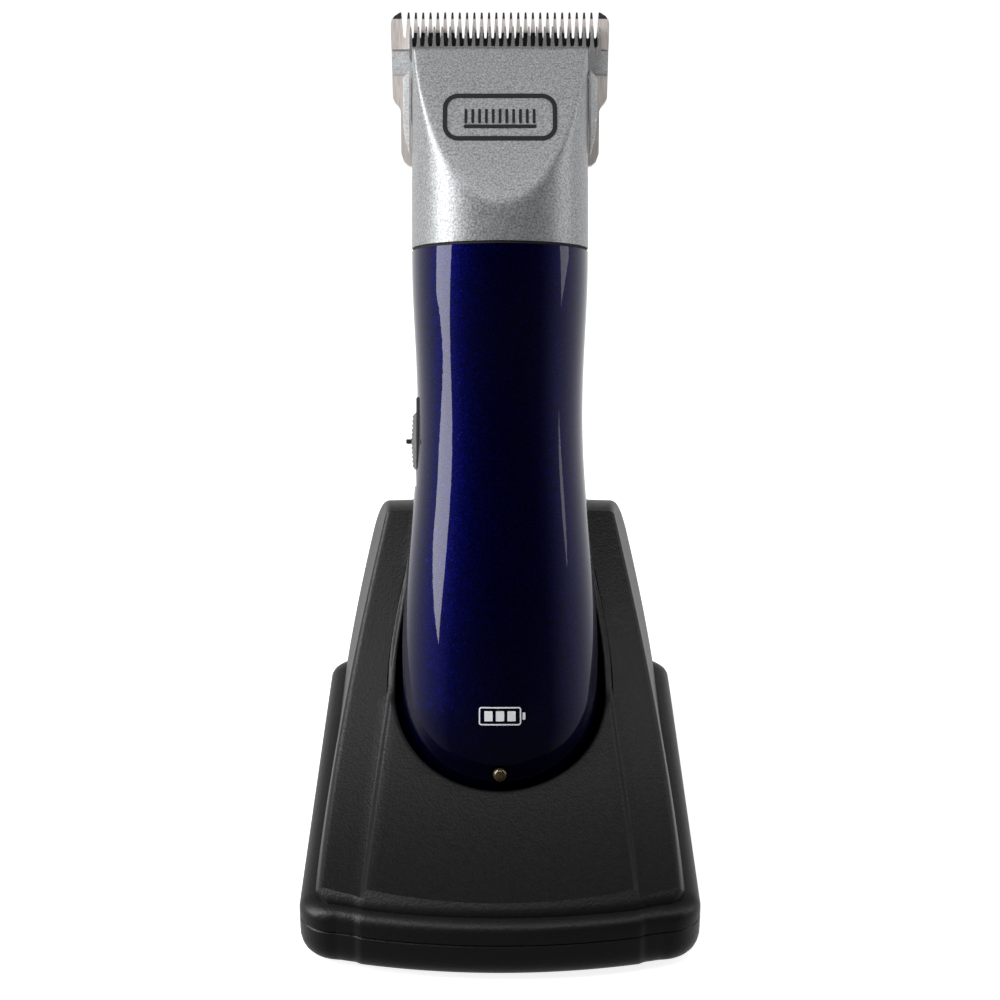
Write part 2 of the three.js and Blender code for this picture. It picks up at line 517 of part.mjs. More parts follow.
// The rear housing: a neck above the handle, the wall that carries the drive, and the hinge's ears.
function buildHousing(clipper) {
  const neck = cut(headPrism(0, [headBase, cheekBase]), aboveRoof(0));
  const neckHollow = cut(headPrism(HEAD_WALL, [headBase - OVER, cheekBase]), aboveRoof(HEAD_WALL));
  const boxHalf = forkHalfGap + LEVER.tine + 2.2;
  const driveBox = box(
    span(0, 2 * (boxHalf + DRIVE_WALL)),
    [wallFront, boxBack],
    [cheekBase - 3, boxTop + DRIVE_ROOF.thickness],
  );
  const driveHollow = box(span(0, 2 * boxHalf), [-FAR, boxBack - DRIVE_WALL], [headBase + 3, boxTop]);
  const wallHalf = CHEEK.width / 2 - CHEEK.panel - GAP;
  const wall = plateXZ(cheekOutline(wallHalf, 0.6), [wallFront, wallBack]);
  const springSeat = box(
    span(0, LATCH.width + 0.6),
    [boxBack + 0.2, springSeatBack],
    [headBase + 2.5, cheekBase - 2.3],
  );
  const shell = join(cut(join(neck, driveBox), neckHollow, driveHollow), cut(wall, driveHollow), springSeat);
  const body = cut(join(shell, ...bothSides(hingeEar)), inFrontOf(wallFront));

  const window = box(
    span(0, LEVER.tongue + 2 * STROKE + 3),
    [-FAR, wallBack + OVER],
    [leverTop - LEVER.tongueHeight - 1.6, leverTop + 1.2],
  );
  const hingeBore = rodX(HINGE.bore, [-FAR, FAR], hingeSetback, hingeLevel, 14);
  const pinBore = rodY(PIVOT.bore, 0, [-FAR, HEAD_SPLIT + 1.4], pivotLevel, 14);
  const latchHole = box(
    span(0, LATCH.width + 2 * RUNNING),
    [springSeatBack + 2, FAR],
    span(latchLevel, LATCH.height + 2 * RUNNING),
  );
  piece(clipper, "head_housing", cut(body, window, hingeBore, pinBore, latchHole), look.silver);
}

// One of the two ears that hold the hinge's pin, rounded where the comb's heel swings past.
function hingeEar(side) {
  const x = span(side * (HINGE.width / 2 + HINGE.ear / 2 + RUNNING), HINGE.ear);
  const round = HINGE.knuckle;
  return join(
    box(x, [boxBack - 2.5, hingeSetback], [cheekBase - 5.5, hingeLevel + round]),
    box(x, [boxBack - 2.5, hingeSetback + round], [cheekBase - 5.5, hingeLevel]),
    rodX(round, x, hingeSetback, hingeLevel, 20),
  );
}

function buildCheeks(clipper) {
  const [inside, outside] = [CHEEK.width / 2 - CHEEK.panel, CHEEK.width / 2];
  const plate = plateXZ(cheekOutline(outside, 0), [wallFront - GAP, wallBack + 1.6]);
  const notchZ = span(cheekBase + CHEEK.notchLevel, CHEEK.notch);
  for (const [name, side] of [["side_panel_left", -1], ["side_panel_right", 1]]) {
    const beyond = (x) => (side > 0 ? [x, FAR] : [-FAR, -x]);
    const keep = box(beyond(inside), [-FAR, FAR], [-FAR, FAR]);
    const notch = box(beyond(outside - 0.5), [-FAR, FAR], notchZ);
    piece(clipper, name, cut(common(plate, keep), notch), look.silver);
  }
}

function buildLatch(clipper) {
  const outside = SEAM.depth / 2;
  const z = span(latchLevel, LATCH.height);
  const flangeBack = flangeFront + LATCH.flange;
  const latch = join(
    box(span(0, LATCH.width), [flangeBack - 0.2, outside + LATCH.proud], z),
    box(span(0, LATCH.width + 2.4), [flangeFront, flangeBack], z),
  );
  piece(clipper, "blade_latch", latch, look.black);
  const springY = [springSeatBack + GAP, flangeFront - LATCH.travel - GAP];
  const spring = tubeY(LATCH_SPRING.radius, LATCH_SPRING.bore, 0, springY, latchLevel);
  piece(clipper, "latch_spring", spring, look.bright);
}

// ---------------------------------------------------------------- the blade set
// The toothed edge of a plate, from right to left: [x, z] points of each tooth's tip and each gap's root.
function teeth({ count, depth, tip, gap }, pitch, tipLevel) {
  const points = [];
  const first = ((count - 1) * pitch) / 2;
  for (let i = 0; i < count; i++) {
    const x = first - i * pitch;
    if (i) points.push([x + pitch / 2 - gap / 2, tipLevel - depth]);
    points.push([x + tip / 2, tipLevel], [x - tip / 2, tipLevel]);
    if (i + 1 < count) points.push([x - pitch / 2 + gap / 2, tipLevel - depth]);
  }
  return points;
}

function combOutline() {
  const [tipHalf, heelHalf] = [COMB.tipWidth / 2, COMB.heelWidth / 2];
  const pitch = (COMB.tipWidth - 2 * COMB_TEETH.outer) / (COMB_TEETH.count + 1);
  const outerInside = tipHalf - COMB_TEETH.outer;
  const root = combTip - COMB_TEETH.depth;
  const right = [
    [heelHalf - 3, combHeel], [heelHalf - 0.9, combHeel + 0.9], [heelHalf, combHeel + 3],
    [heelHalf + 0.1, combHeel + COMB.shoulder - 2], [tipHalf - 0.6, combHeel + COMB.shoulder],
    [tipHalf, combTip - 3], [tipHalf - 0.6, combTip - 1.1], [tipHalf - 2, combTip], [outerInside, combTip],
    [outerInside - 0.6, root], [outerInside - 1, root],
  ];
  const left = right.map(([x, z]) => [-x, z]).reverse();
  return [...right, ...teeth(COMB_TEETH, pitch, combTip), ...left];
}

function cutterOutline() {
  const [half, waist] = [CUTTER.width / 2, CUTTER.waist / 2];
  const pitch = (CUTTER.width - 2 * CUTTER_TEETH.outer) / (CUTTER_TEETH.count - 1);
  const lobeBottom = cutterTip - CUTTER_TEETH.depth - CUTTER.lobe;
  const right = [
    [waist - 6, cutterHeel], [waist, cutterHeel + 4], [waist, lobeBottom - 1.4], [half - 1.6, lobeBottom],
    [half, lobeBottom + 1.6], [half, cutterTip - 1], [half - 0.2, cutterTip],
  ];
  const left = right.map(([x, z]) => [-x, z]).reverse();
  return [...right, ...teeth(CUTTER_TEETH, pitch, cutterTip).slice(1, -1), ...left];
}

const bladeScrewLevel = combHeel + BLADE_SCREW.aboveHeel;
const atBladeScrews = (make) => bothSides((side) => make((side * BLADE_SCREW.spacing) / 2));
const bladeBores = () => atBladeScrews((x) => rodY(BLADE_SCREW.bore, x, [0, FAR], bladeScrewLevel, 12));

function buildBladePlates(clipper) {
  const { front, thickness } = COMB;
  const back = front + thickness;
  const tipFront = front + COMB_TIP.front;
  const taperFrom = combTip - COMB_TIP.taper;
  const side = plateYZ(
    [
      [front, combHeel], [back, combHeel], [back, taperFrom], [tipFront + COMB_TIP.thickness, combTip],
      [tipFront, combTip], [front, combTip - 1.6],
    ],
    [-FAR, FAR],
  );
  const channelTop = combTip - CHANNEL.below;
  const channelZ = [channelTop - CHANNEL.height, channelTop];
  const channel = box([-FAR, FAR], [front - OVER, front + CHANNEL.depth], channelZ);
  const plate = common(plateXZ(combOutline(), [front - OVER, back + OVER]), side);
  piece(clipper, "comb_blade", cut(plate, channel, ...bladeBores()), look.steel);

  const slotTop = leverTop + 1.6;
  const slot = box(span(0, LEVER.tongue + 2 * RUNNING), [-FAR, FAR], [-FAR, slotTop]);
  const grind = plateYZ(
    [[cutterBack - 0.9, cutterTip + 1], [cutterFront - 1, cutterTip - 4.5], [cutterFront - 3, cutterTip + 1]],
    [-FAR, FAR],
  );
  const cutterPlate = plateXZ(cutterOutline(), [cutterFront, cutterBack]);
  const cutter = piece(clipper, "cutter_blade", cut(cutterPlate, slot, grind), look.bright);
  cutter.position.x = STROKE;
}

// The socket on the comb's heel, the hinge's tongue inside it, and the spring that presses the cutter.
function buildBladeMount(clipper) {
  const socketFront = COMB.front - GAP / 2 - SOCKET.depth;
  const socketZ = [socketBottom, cutterHeel - SOCKET.belowCutter];
  const mouthTop = socketZ[1] - SOCKET.wall + 0.1;
  const tongueFront = socketFront + SOCKET.wall + 0.2;
  const tongueY = [tongueFront, tongueFront + TONGUE.thickness];
  const mouth = box(span(0, SOCKET.mouth), [tongueY[0] - 0.2, tongueY[1] + 0.2], [-FAR, mouthTop]);
  const block = box(span(0, SOCKET.width), [socketFront, COMB.front - GAP / 2], socketZ);
  piece(clipper, "blade_socket", cut(block, mouth, ...bladeBores()), look.steel);

  const springY = [socketFront - 0.2 - TENSION_SPRING.thickness, socketFront - 0.2];
  const legTop = cutterHeel + TENSION_SPRING.legRise;
  const legPlace = (TENSION_SPRING.width - TENSION_SPRING.leg) / 2;
  const legX = bothSides((side) => span(side * legPlace, TENSION_SPRING.leg));
  const legs = legX.map((x) => box(x, springY, [socketZ[0], legTop]));
  const footZ = [legTop - TENSION_SPRING.foot, legTop];
  const feet = legX.map((x) => box(x, [springY[0], cutterFront - 0.15], footZ));
  const strap = box(span(0, TENSION_SPRING.width), springY, socketZ);
  piece(clipper, "tension_spring", cut(join(strap, ...legs, ...feet), ...bladeBores()), look.bright);

  const underHead = springY[0] - 0.1;
  const screws = atBladeScrews((x) => join(
    rodY(BLADE_SCREW.shank, x, [underHead, COMB.front + COMB.thickness - 0.3], bladeScrewLevel, 12),
    rodY(BLADE_SCREW.head, x, [underHead - BLADE_SCREW.headHeight, underHead], bladeScrewLevel, 14),
  ));
  piece(clipper, "blade_screw_left", screws[0], look.steel);
  piece(clipper, "blade_screw_right", screws[1], look.steel);

  const tongue = join(
    rodX(HINGE.knuckle, span(0, HINGE.width), hingeSetback, hingeLevel, 18),
    box(span(0, TONGUE.width), tongueY, [hingeLevel, socketZ[1] - TONGUE.end]),
    box(span(0, TONGUE.width), [tongueY[0], hingeSetback], span(hingeLevel, TONGUE.thickness)),
  );
  const bore = rodX(HINGE.bore, [-FAR, FAR], hingeSetback, hingeLevel, 14);
  piece(clipper, "hinge_tongue", cut(tongue, bore), look.steel);
  const pinX = span(0, HINGE.width + 2 * (HINGE.ear + RUNNING));
  piece(clipper, "hinge_pin", rodX(HINGE.radius, pinX, hingeSetback, hingeLevel, 14), look.bright);
}

// ---------------------------------------------------------------- the stand's shape
const trayBottom = FOOT.proud;
const trayFloor = trayBottom + STAND_WALL;
const seamTop = TRAY_HEIGHT + GAP;
const pocketWall = POCKET_CLEARANCE + STAND_WALL; // handle's skin to the outside of the pocket's wall
const seatHeight = (() => {
  const reach = Math.hypot(
    (HIP.depth / 2 + pocketWall) * Math.sin(LEAN),
    (END_RISE + pocketWall) * Math.cos(LEAN),
  );
  return UNDER_POCKET + reach - END_RISE * Math.cos(LEAN);
})();

// The stand's plan, drawn in by an inset: a shallow arc in front, straight sides and round corners.
function planOutline(inset) {
  const half = STAND.width / 2 - inset;
  const front = (x) => inset + STAND.frontArc - Math.sqrt(STAND.frontArc ** 2 - x * x);
  const r = Math.max(STAND.corner - inset / 2, 1);
  const points = [];
  const frontSteps = 6;
  for (let i = 0; i <= frontSteps; i++) {
    const x = (half - r) * ((2 * i) / frontSteps - 1);
    points.push([x, front(x)]);
  }
  const corner = (cx, cy, from) => {
    for (let i = 1; i <= 4; i++) {
      const a = from + (Math.PI / 2) * (i / 4);
      points.push([cx + r * Math.cos(a), cy + r * Math.sin(a)]);
    }
  };
  const [frontCorner, rearCorner] = [front(half - r) + r, STAND.length - inset - r];
  corner(half - r, frontCorner, -Math.PI / 2);
  corner(half - r, rearCorner, 0);
  corner(-half + r, rearCorner, Math.PI / 2);
  corner(-half + r, frontCorner, Math.PI);
  return points.slice(0, -1);
}

// A skin over copies of the plan, each given as [inset, height].
function planStack(levels) {
  const ring = ([inset, z]) => planOutline(inset).map(([x, y]) => new THREE.Vector3(x, y, z));
  return loft(levels.map(ring));
}

// The deck at a distance from the front edge: its height, and half the widths of its ridge and of its band.
function deckAt(y) {
  const c = DECK_CURVE;
  const rise = Math.max(0, y / TOWER_SETBACK);
  const fall = THREE.MathUtils.clamp((y - TOWER_SETBACK) / (STAND.length - 2 - TOWER_SETBACK), 0, 1);
  const tall = TOWER_HEIGHT - SHOULDER_HEIGHT;
  const climb = c.straight * rise + (1 - c.straight) * rise ** c.power;
  const top = SHOULDER_HEIGHT + tall * (rise < 1 ? climb : (1 - fall ** c.rear) ** (1 / c.rear));
  const ridge = STAND.width / 2 - DECK_EDGE;
  const towerRidge = HIP.width / 2 + pocketWall + TOWER_EDGE;
  const crease = ridge - BAND.edge;
  const towerCrease = towerRidge - BAND.towerEdge;
  const up = Math.min(rise, 1);
  const spread = c.spread * fall ** 2;
  return {
    top,
    ridge: ridge + (towerRidge - ridge) * up ** c.ridge + spread,
    crease: crease + (towerCrease - crease) * up ** c.crease + spread,
  };
}

// The sloping deck and the tower: sections across the stand, from its front to its back.
function deckForm(inset) {
  const rings = [];
  const steps = 18;
  const [bottom, low] = [trayBottom + 2.9, SHOULDER_HEIGHT - 3];
  const foot = STAND.width / 2 - SHOULDER_INSET - inset;
  for (let i = 0; i <= steps; i++) {
    const y = -4 + ((STAND.length + 8) * i) / steps;
    const deck = deckAt(y);
    const [top, ridge, crease] = [deck.top - inset, deck.ridge - inset, deck.crease - inset];
    const [edgeX, edgeZ] = [ridge + 0.4, top - 1.1];
    const flank = (t) => [edgeX + (foot - edgeX) * t + 1.6 * t * (1 - t), edgeZ + (low - edgeZ) * t];
    const half = [
      [crease - 0.7, top + BAND.proud], [crease + 0.7, top], [ridge - 1.4, top - 0.2], [edgeX, edgeZ],
      flank(0.35), flank(0.7), [foot, low], [foot, bottom],
    ];
    const ring = mirrored(half);
    rings.push(ring.map(([x, z]) => new THREE.Vector3(x, y, Math.max(z, bottom))));
  }
  return loft(rings);
}

// Leans a shape over with the clipper and sets it at the clipper's place.
const atSeat = (geometry) => geometry.rotateX(-LEAN).translate(0, SEAT_SETBACK, seatHeight);

// The handle's form with room round it, carried straight up from its widest level.
function pocketForm(inset) {
  return atSeat(handleForm(inset, HANDLE_LENGTH, (z, axis) => HIP[axis] / 2));
}

// A round shape that lies along the clipper's axis, between two levels from the handle's lower end.
const axial = (x, radius, levels) => atSeat(rodZ(radius, x, 0, levels, 16));

const cornerNames = ["front_left", "front_right", "rear_left", "rear_right"];
const cornerPlaces = ({ inset, front, rear }) => {
  const x = STAND.width / 2 - inset;
  return [[-x, front], [x, front], [-x, STAND.length - rear], [x, STAND.length - rear]];
};
const screwPlaces = cornerPlaces(TRAY_SCREW);
const footPlaces = cornerPlaces(FOOT);
const jackLevel = trayFloor + 1 + JACK.height / 2;
const jackBack = STAND.length - JACK.inset;

function buildBase(stand) {
  const lip = [
    [0, seamTop], [0, SHOULDER_HEIGHT - 2.4], [0.5, SHOULDER_HEIGHT - 1.1], [1.8, SHOULDER_HEIGHT - 0.3],
    [SHOULDER_INSET + 1, SHOULDER_HEIGHT],
  ];
  const above = TOWER_HEIGHT + 9;
  const room = SHOULDER_INSET + STAND_WALL;
  const deckRange = planStack([[SHOULDER_INSET, seamTop], [SHOULDER_INSET, above]]);
  const outer = join(planStack(lip), common(deckForm(0), deckRange));
  const inner = join(
    planStack([[STAND_WALL, seamTop - OVER], [STAND_WALL, SHOULDER_HEIGHT - STAND_WALL - 0.2]]),
    common(deckForm(STAND_WALL), planStack([[room, seamTop - OVER], [room, above]])),
  );
  const cup = solid(pocketForm(-pocketWall));
  const at = (places, radius, z, sides) => places.map(([x, y]) => rodZ(radius, x, y, z, sides));
  const bosses = at(screwPlaces, TRAY_SCREW.boss, [trayFloor + GAP, SHOULDER_HEIGHT - 2], 14);
  const threads = at(screwPlaces, SCREW.thread, [0, SHOULDER_HEIGHT - 3.5], 12);
  const jackHole = box(
    span(0, JACK.width + 2 * GAP),
    [jackBack - JACK.depth - 2, FAR],
    span(jackLevel, JACK.height + 2 * GAP),
  );
  const below = box([-FAR, FAR], [-FAR, FAR], [-FAR, seamTop]);
  const pinHoles = padPlaces.map((x) => axial(x, PIN.radius + RUNNING, [-14, 3]));
  const shell = cut(outer, cut(inner, cup), below);
  const top = cut(
    join(shell, common(cup, inner), ...bosses),
    pocketForm(-POCKET_CLEARANCE), ...threads, jackHole, ...pinHoles,
  );
  piece(stand, "base_top", top, look.black);

  const tray = cut(
    planStack([[2.6, trayBottom], [0.9, trayBottom + 0.9], [0.1, trayBottom + 3], [0, TRAY_HEIGHT]]),
    planStack([[STAND_WALL, trayFloor], [STAND_WALL, TRAY_HEIGHT + OVER]]),
    jackHole,
    ...at(footPlaces, FOOT.radius + GAP, [-OVER, FOOT.height + GAP], 20),
    ...at(screwPlaces, SCREW.bore, [-OVER, trayFloor + OVER], 12),
    ...at(screwPlaces, SCREW.head + GAP, [-OVER, trayBottom + TRAY_SCREW.sunk], 16),
  );
  piece(stand, "base_tray", tray, look.black);

  cornerNames.forEach((corner, i) => {
    piece(stand, "foot_" + corner, rodZ(FOOT.radius, ...footPlaces[i], [0, FOOT.height], 20), look.rubber);
    const trayScrew = join(
      rodZ(SCREW.head, ...screwPlaces[i], [trayBottom, trayBottom + 1], 16),
      rodZ(SCREW.shank, ...screwPlaces[i], [trayBottom + 0.5, trayBottom + SCREW.length], 12),
    );
    piece(stand, "tray_screw_" + corner, trayScrew, look.steel);
  });
}

function buildContacts(stand) {
  const collarTop = -pocketWall - GAP - PIN.travel;
  const collarBottom = collarTop - PIN.collarHeight;
  const springTop = collarBottom - PIN.travel - 0.2;
  const springBottom = springTop - PIN_SPRING.length;
  const pinTop = PAD.recess - GAP;
  const springs = ["pin_spring_left", "pin_spring_right"];
  ["contact_pin_left", "contact_pin_right"].forEach((name, i) => {
    const x = padPlaces[i];
    const shank = axial(x, PIN.radius, [collarBottom - PIN.tail, pinTop]);
    piece(stand, name, join(shank, axial(x, PIN.collar, [collarBottom, collarTop])), look.gold);
    const coil = cut(
      axial(x, PIN.collar, [springBottom, springTop]),
      axial(x, PIN_SPRING.bore, [springBottom - OVER, springTop + OVER]),
    );
    piece(stand, springs[i], coil, look.bright);
  });

  const blank = box(
    span(0, PAD.spacing + 2 * CONTACT_BLOCK.side),
    span(SEAT_SETBACK - CONTACT_BLOCK.setback, CONTACT_BLOCK.depth),
    [trayFloor + GAP, UNDER_POCKET + CONTACT_BLOCK.above],
  );
  const wells = padPlaces.map((x) => axial(x, PIN.collar + RUNNING, [springBottom - 0.2, 9]));
  const runs = padPlaces.map((x) => axial(x, PIN.radius + RUNNING, [-12, 9]));
  piece(stand, "contact_block", cut(blank, pocketForm(-pocketWall - GAP), ...wells, ...runs), look.dark);
}

function buildElectrics(stand) {
  const boardBack = STAND.length - BASE_BOARD.rear;
  const boardZ = [trayFloor + BASE_BOARD.above, trayFloor + BASE_BOARD.above + BASE_BOARD.thickness];
  const board = box(span(0, BASE_BOARD.width), [boardBack - BASE_BOARD.depth, boardBack], boardZ);
  piece(stand, "base_board", board, look.board);

  const jackFront = jackBack - JACK.depth;
  const jack = cut(
    box(span(0, JACK.width), [jackFront, jackBack], span(jackLevel, JACK.height)),
    tubeY(JACK.bore, JACK.pin, 0, [jackFront + JACK.floor, jackBack + OVER], jackLevel),
  );
  piece(stand, "dc_jack", jack, look.dark);

  const ballastBack = STAND.length - BALLAST.rear;
  const ballastZ = [trayFloor + GAP, trayFloor + GAP + BALLAST.thickness];
  const ballast = box(span(0, BALLAST.width), [ballastBack - BALLAST.depth, ballastBack], ballastZ);
  piece(stand, "ballast_plate", ballast, look.steel);
}

// ---------------------------------------------------------------- the assembly
const clipper = new THREE.Group();
for (const build of [buildHandle, buildHandleInside, buildSwitch, buildMotor, buildLever]) build(clipper);
for (const build of [buildCover, buildHousing, buildCheeks, buildLatch, buildBladePlates, buildBladeMount])
  build(clipper);
clipper.rotation.x = -LEAN;
clipper.position.set(0, SEAT_SETBACK, seatHeight);

const stand = new THREE.Group();
for (const build of [buildBase, buildContacts, buildElectrics]) build(stand);

const whole = new THREE.Group();
whole.add(stand, clipper);
whole.updateMatrixWorld(true);
const bounds = new THREE.Box3().setFromObject(whole, true);
const centre = bounds.getCenter(new THREE.Vector3());
whole.position.set(-centre.x, -centre.y, -bounds.min.z);

const part = new THREE.Group();
part.add(whole);

export default part;
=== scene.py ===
"""The looks of a cordless animal clipper leaning back in its charging stand, built round its CAD model.

Lengths in the shape functions are millimetres. The clipper's pieces are made upright, with the lower end of
the handle at the origin, and then set at the handle's place and lean, which come from the frame's joints.
The stand's pieces are made with the front edge of the tray at y = 0 and the desk at z = 0.
"""

import json
import math

import bmesh
import bpy
import numpy as np
from mathutils import Matrix, Vector


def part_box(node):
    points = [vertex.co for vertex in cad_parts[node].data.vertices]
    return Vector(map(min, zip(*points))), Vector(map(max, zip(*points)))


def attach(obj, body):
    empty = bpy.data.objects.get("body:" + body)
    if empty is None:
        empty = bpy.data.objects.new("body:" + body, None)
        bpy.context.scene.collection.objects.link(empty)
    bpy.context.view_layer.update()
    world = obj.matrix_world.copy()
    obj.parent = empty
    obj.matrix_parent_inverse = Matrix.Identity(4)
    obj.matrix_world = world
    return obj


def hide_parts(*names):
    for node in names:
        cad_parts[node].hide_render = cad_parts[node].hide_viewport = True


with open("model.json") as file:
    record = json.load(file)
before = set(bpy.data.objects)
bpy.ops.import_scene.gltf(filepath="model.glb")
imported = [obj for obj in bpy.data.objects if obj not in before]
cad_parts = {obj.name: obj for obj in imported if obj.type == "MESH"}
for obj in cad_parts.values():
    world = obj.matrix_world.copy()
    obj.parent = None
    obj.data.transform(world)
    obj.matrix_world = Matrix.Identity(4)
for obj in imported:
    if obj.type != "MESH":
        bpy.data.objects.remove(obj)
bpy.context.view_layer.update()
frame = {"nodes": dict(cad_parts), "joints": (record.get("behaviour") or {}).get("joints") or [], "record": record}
nodes = frame["nodes"]
joints = {joint["name"]: joint for joint in frame["joints"]}

MM = 0.001
FAR = 200  # reach of a cutting block beyond every piece

# ---------------------------------------------------------------- sizes that repeat the CAD model's
HANDLE_LENGTH = 126.6
HIP_HEIGHT, WAIST_HEIGHT = 33, 90
HIP, WAIST, SEAM = (44, 37), (37, 33), (39.5, 36)  # width and depth
END_RISE = 27
HANDLE_WALL, HEAD_WALL = 2.2, 1.8
SPLIT_SETBACK = 5
HEAD_BASE = HANDLE_LENGTH + 0.7
HEAD_LENGTH = 45
HEAD_TOP = HEAD_BASE + HEAD_LENGTH
HEAD_HALF = (SEAM[0] / 2, SEAM[1] / 2)
HEAD_SPLIT = -1.65
FACET_TOP, FACET_LENGTH = 3, 36.7

STAND_LENGTH, STAND_WIDTH = 123, 85
TRAY_SEAM = 9
CORNERS = ("front_left", "front_right", "rear_left", "rear_right")


def clipper_place():
    """The matrix from the upright clipper in millimetres to its place in the stand."""
    up = Vector(joints["clipper_lift"]["axis"]).normalized()
    right = Vector((1, 0, 0))
    back = up.cross(right)
    on_axis = Vector(joints["motor_spin"]["pos_m"])
    seam = max((v.co - on_axis).dot(up) for v in nodes["handle_front_shell"].data.vertices)
    place = Matrix((right, back, up)).transposed().to_4x4()
    place.translation = on_axis + (seam - HANDLE_LENGTH * MM) * up
    return place @ Matrix.Scale(MM, 4)


def stand_place():
    """The matrix from the stand in millimetres to its place in the frame."""
    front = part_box("base_tray")[0][1]
    return Matrix.Translation((0, front, 0)) @ Matrix.Scale(MM, 4)


CLIPPER = clipper_place()
STAND = stand_place()


# ---------------------------------------------------------------- mesh tools
def make_piece(name, verts, faces, place=CLIPPER):
    """An object from points in a place's millimetres, with its faces turned outwards."""
    mesh = bpy.data.meshes.new(name)
    mesh.from_pydata([tuple(v) for v in verts], [], faces)
    mesh.transform(place)
    bm = bmesh.new()
    bm.from_mesh(mesh)
    bmesh.ops.recalc_face_normals(bm, faces=bm.faces)
    bm.to_mesh(mesh)
    bm.free()
    piece = bpy.data.objects.new(name, mesh)
    bpy.context.collection.objects.link(piece)
    return piece


def loft(rings):
    """Points and faces of a closed skin over rings that have the same number of points."""
    n = len(rings[0])
    verts = [p for ring in rings for p in ring]
    faces = []
    for k in range(len(rings) - 1):
        for i in range(n):
            a, b = k * n + i, k * n + (i + 1) % n
            faces.append((a, b, b + n, a + n))
    for ring in (0, len(rings) - 1):
        middle = np.mean(np.array(rings[ring], float), axis=0)
        verts.append(tuple(middle))
        base = ring * n
        faces += [(len(verts) - 1, base + i, base + (i + 1) % n) for i in range(n)]
    return verts, faces


def closed_band(sections):
    """Points and faces of a ring-shaped skin over closed sections, with the last joined to the first."""
    n, count = len(sections[0]), len(sections)
    verts = [p for section in sections for p in section]
    faces = []
    for k in range(count):
        for i in range(n):
            a, b = k * n + i, k * n + (i + 1) % n
            c, d = (k + 1) % count * n + (i + 1) % n, (k + 1) % count * n + i
            faces.append((a, b, c, d))
    return verts, faces


def turned(profile, start, axis, sides=40):
    """A shape turned about an axis, from (radius, distance along the axis) points."""
    start, turn = Vector(start), Vector(axis).to_track_quat("Z", "Y")
    angles = [2 * math.pi * i / sides for i in range(sides)]
    rings = []
    for radius, along in profile:
        ring = [start + turn @ Vector((radius * math.cos(a), radius * math.sin(a), along)) for a in angles]
        rings.append([tuple(p) for p in ring])
    return loft(rings)


def rod(radius, start, end, sides=48):
    """A cylinder between two points."""
    along = Vector(end) - Vector(start)
    return turned([(radius, 0), (radius, along.length)], start, along, sides)


def slab(outline, low, high):
    """A plate from an outline in X and Z, between two setbacks."""
    n = len(outline)
    verts = [(x, y, z) for y in (low, high) for x, z in outline]
    faces = [tuple(range(n)), tuple(range(n, 2 * n))]
    faces += [(i, (i + 1) % n, (i + 1) % n + n, i + n) for i in range(n)]
    return verts, faces


def slab_x(outline, low, high):
    """A plate from an outline in Y and Z, between two places across."""
    verts, faces = slab(outline, low, high)
    return [(across, y, z) for y, across, z in verts], faces


def rounded(half_width, half_height, radius, steps=8):
    """The outline of a rounded rectangle about the origin."""
    points = []
    for cx, cz, start in ((1, 1, 0), (-1, 1, 1), (-1, -1, 2), (1, -1, 3)):
        for i in range(steps + 1):
            a = math.pi / 2 * (start + i / steps)
            x = cx * (half_width - radius) + radius * math.cos(a)
            points.append((x, cz * (half_height - radius) + radius * math.sin(a)))
    return points


def mirrored(right, middle=()):
    """A whole outline from its right half, with what comes between the halves."""
    return right + list(middle) + [(-x, z) for x, z in reversed(right)]


def block(x, y, z):
    """A box between two places along each axis."""
    corners = [(a, b, c) for a in x for b in y for c in z]
    faces = [(0, 1, 3, 2), (4, 6, 7, 5), (0, 4, 5, 1), (2, 3, 7, 6), (0, 2, 6, 4), (1, 5, 7, 3)]
    return corners, faces


def apply_modifiers(piece):
    """Makes a piece's mesh what its modifiers show, and clears them."""
    bpy.context.view_layer.update()
    shown = piece.evaluated_get(bpy.context.evaluated_depsgraph_get())
    mesh = bpy.data.meshes.new_from_object(shown)
    piece.modifiers.clear()
    old = piece.data
    piece.data = mesh
    bpy.data.meshes.remove(old)


def bevel(piece, width, segments=2):
    """Rounds a piece's sharp edges."""
    modifier = piece.modifiers.new("bevel", "BEVEL")
    modifier.width = width * MM
    modifier.segments = segments
    modifier.limit_method = "ANGLE"
    modifier.angle_limit = math.radians(35)
    apply_modifiers(piece)


def merge(piece, tool, operation):
    """Cuts another piece from a piece, or joins it on, or keeps what they share, and uses it up."""
    modifier = piece.modifiers.new("merge", "BOOLEAN")
    modifier.object = tool
    modifier.operation = operation
    modifier.solver = "MANIFOLD"
    apply_modifiers(piece)
    bpy.data.objects.remove(tool)


def cut(piece, shape, place=CLIPPER):
    """Cuts a shape of points and faces from a piece."""
    merge(piece, make_piece("tool", *shape, place), "DIFFERENCE")


def join(piece, shape, place=CLIPPER):
    """Joins a shape of points and faces to a piece."""
    merge(piece, make_piece("tool", *shape, place), "UNION")


def trim_to(piece, shape, place=CLIPPER):
    """Keeps what is inside a shape of points and faces."""
    merge(piece, make_piece("tool", *shape, place), "INTERSECT")


def shade(piece, degrees=32):
    """Smooth shading, with sharp edges above an angle."""
    mesh = piece.data
    mesh.polygons.foreach_set("use_smooth", [True] * len(mesh.polygons))
    mesh.set_sharp_from_angle(angle=math.radians(degrees))
    return piece


def dress(piece, body, slot, *replaced, material=None):
    """Gives a piece its body and the material of its finish slot, or the material given, and hides the CAD nodes
    it stands for.
    """
    piece.data.materials.clear()
    piece.data.materials.append(material or MATERIALS[slot])
    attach(piece, body)
    if replaced:
        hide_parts(*replaced)
    return piece


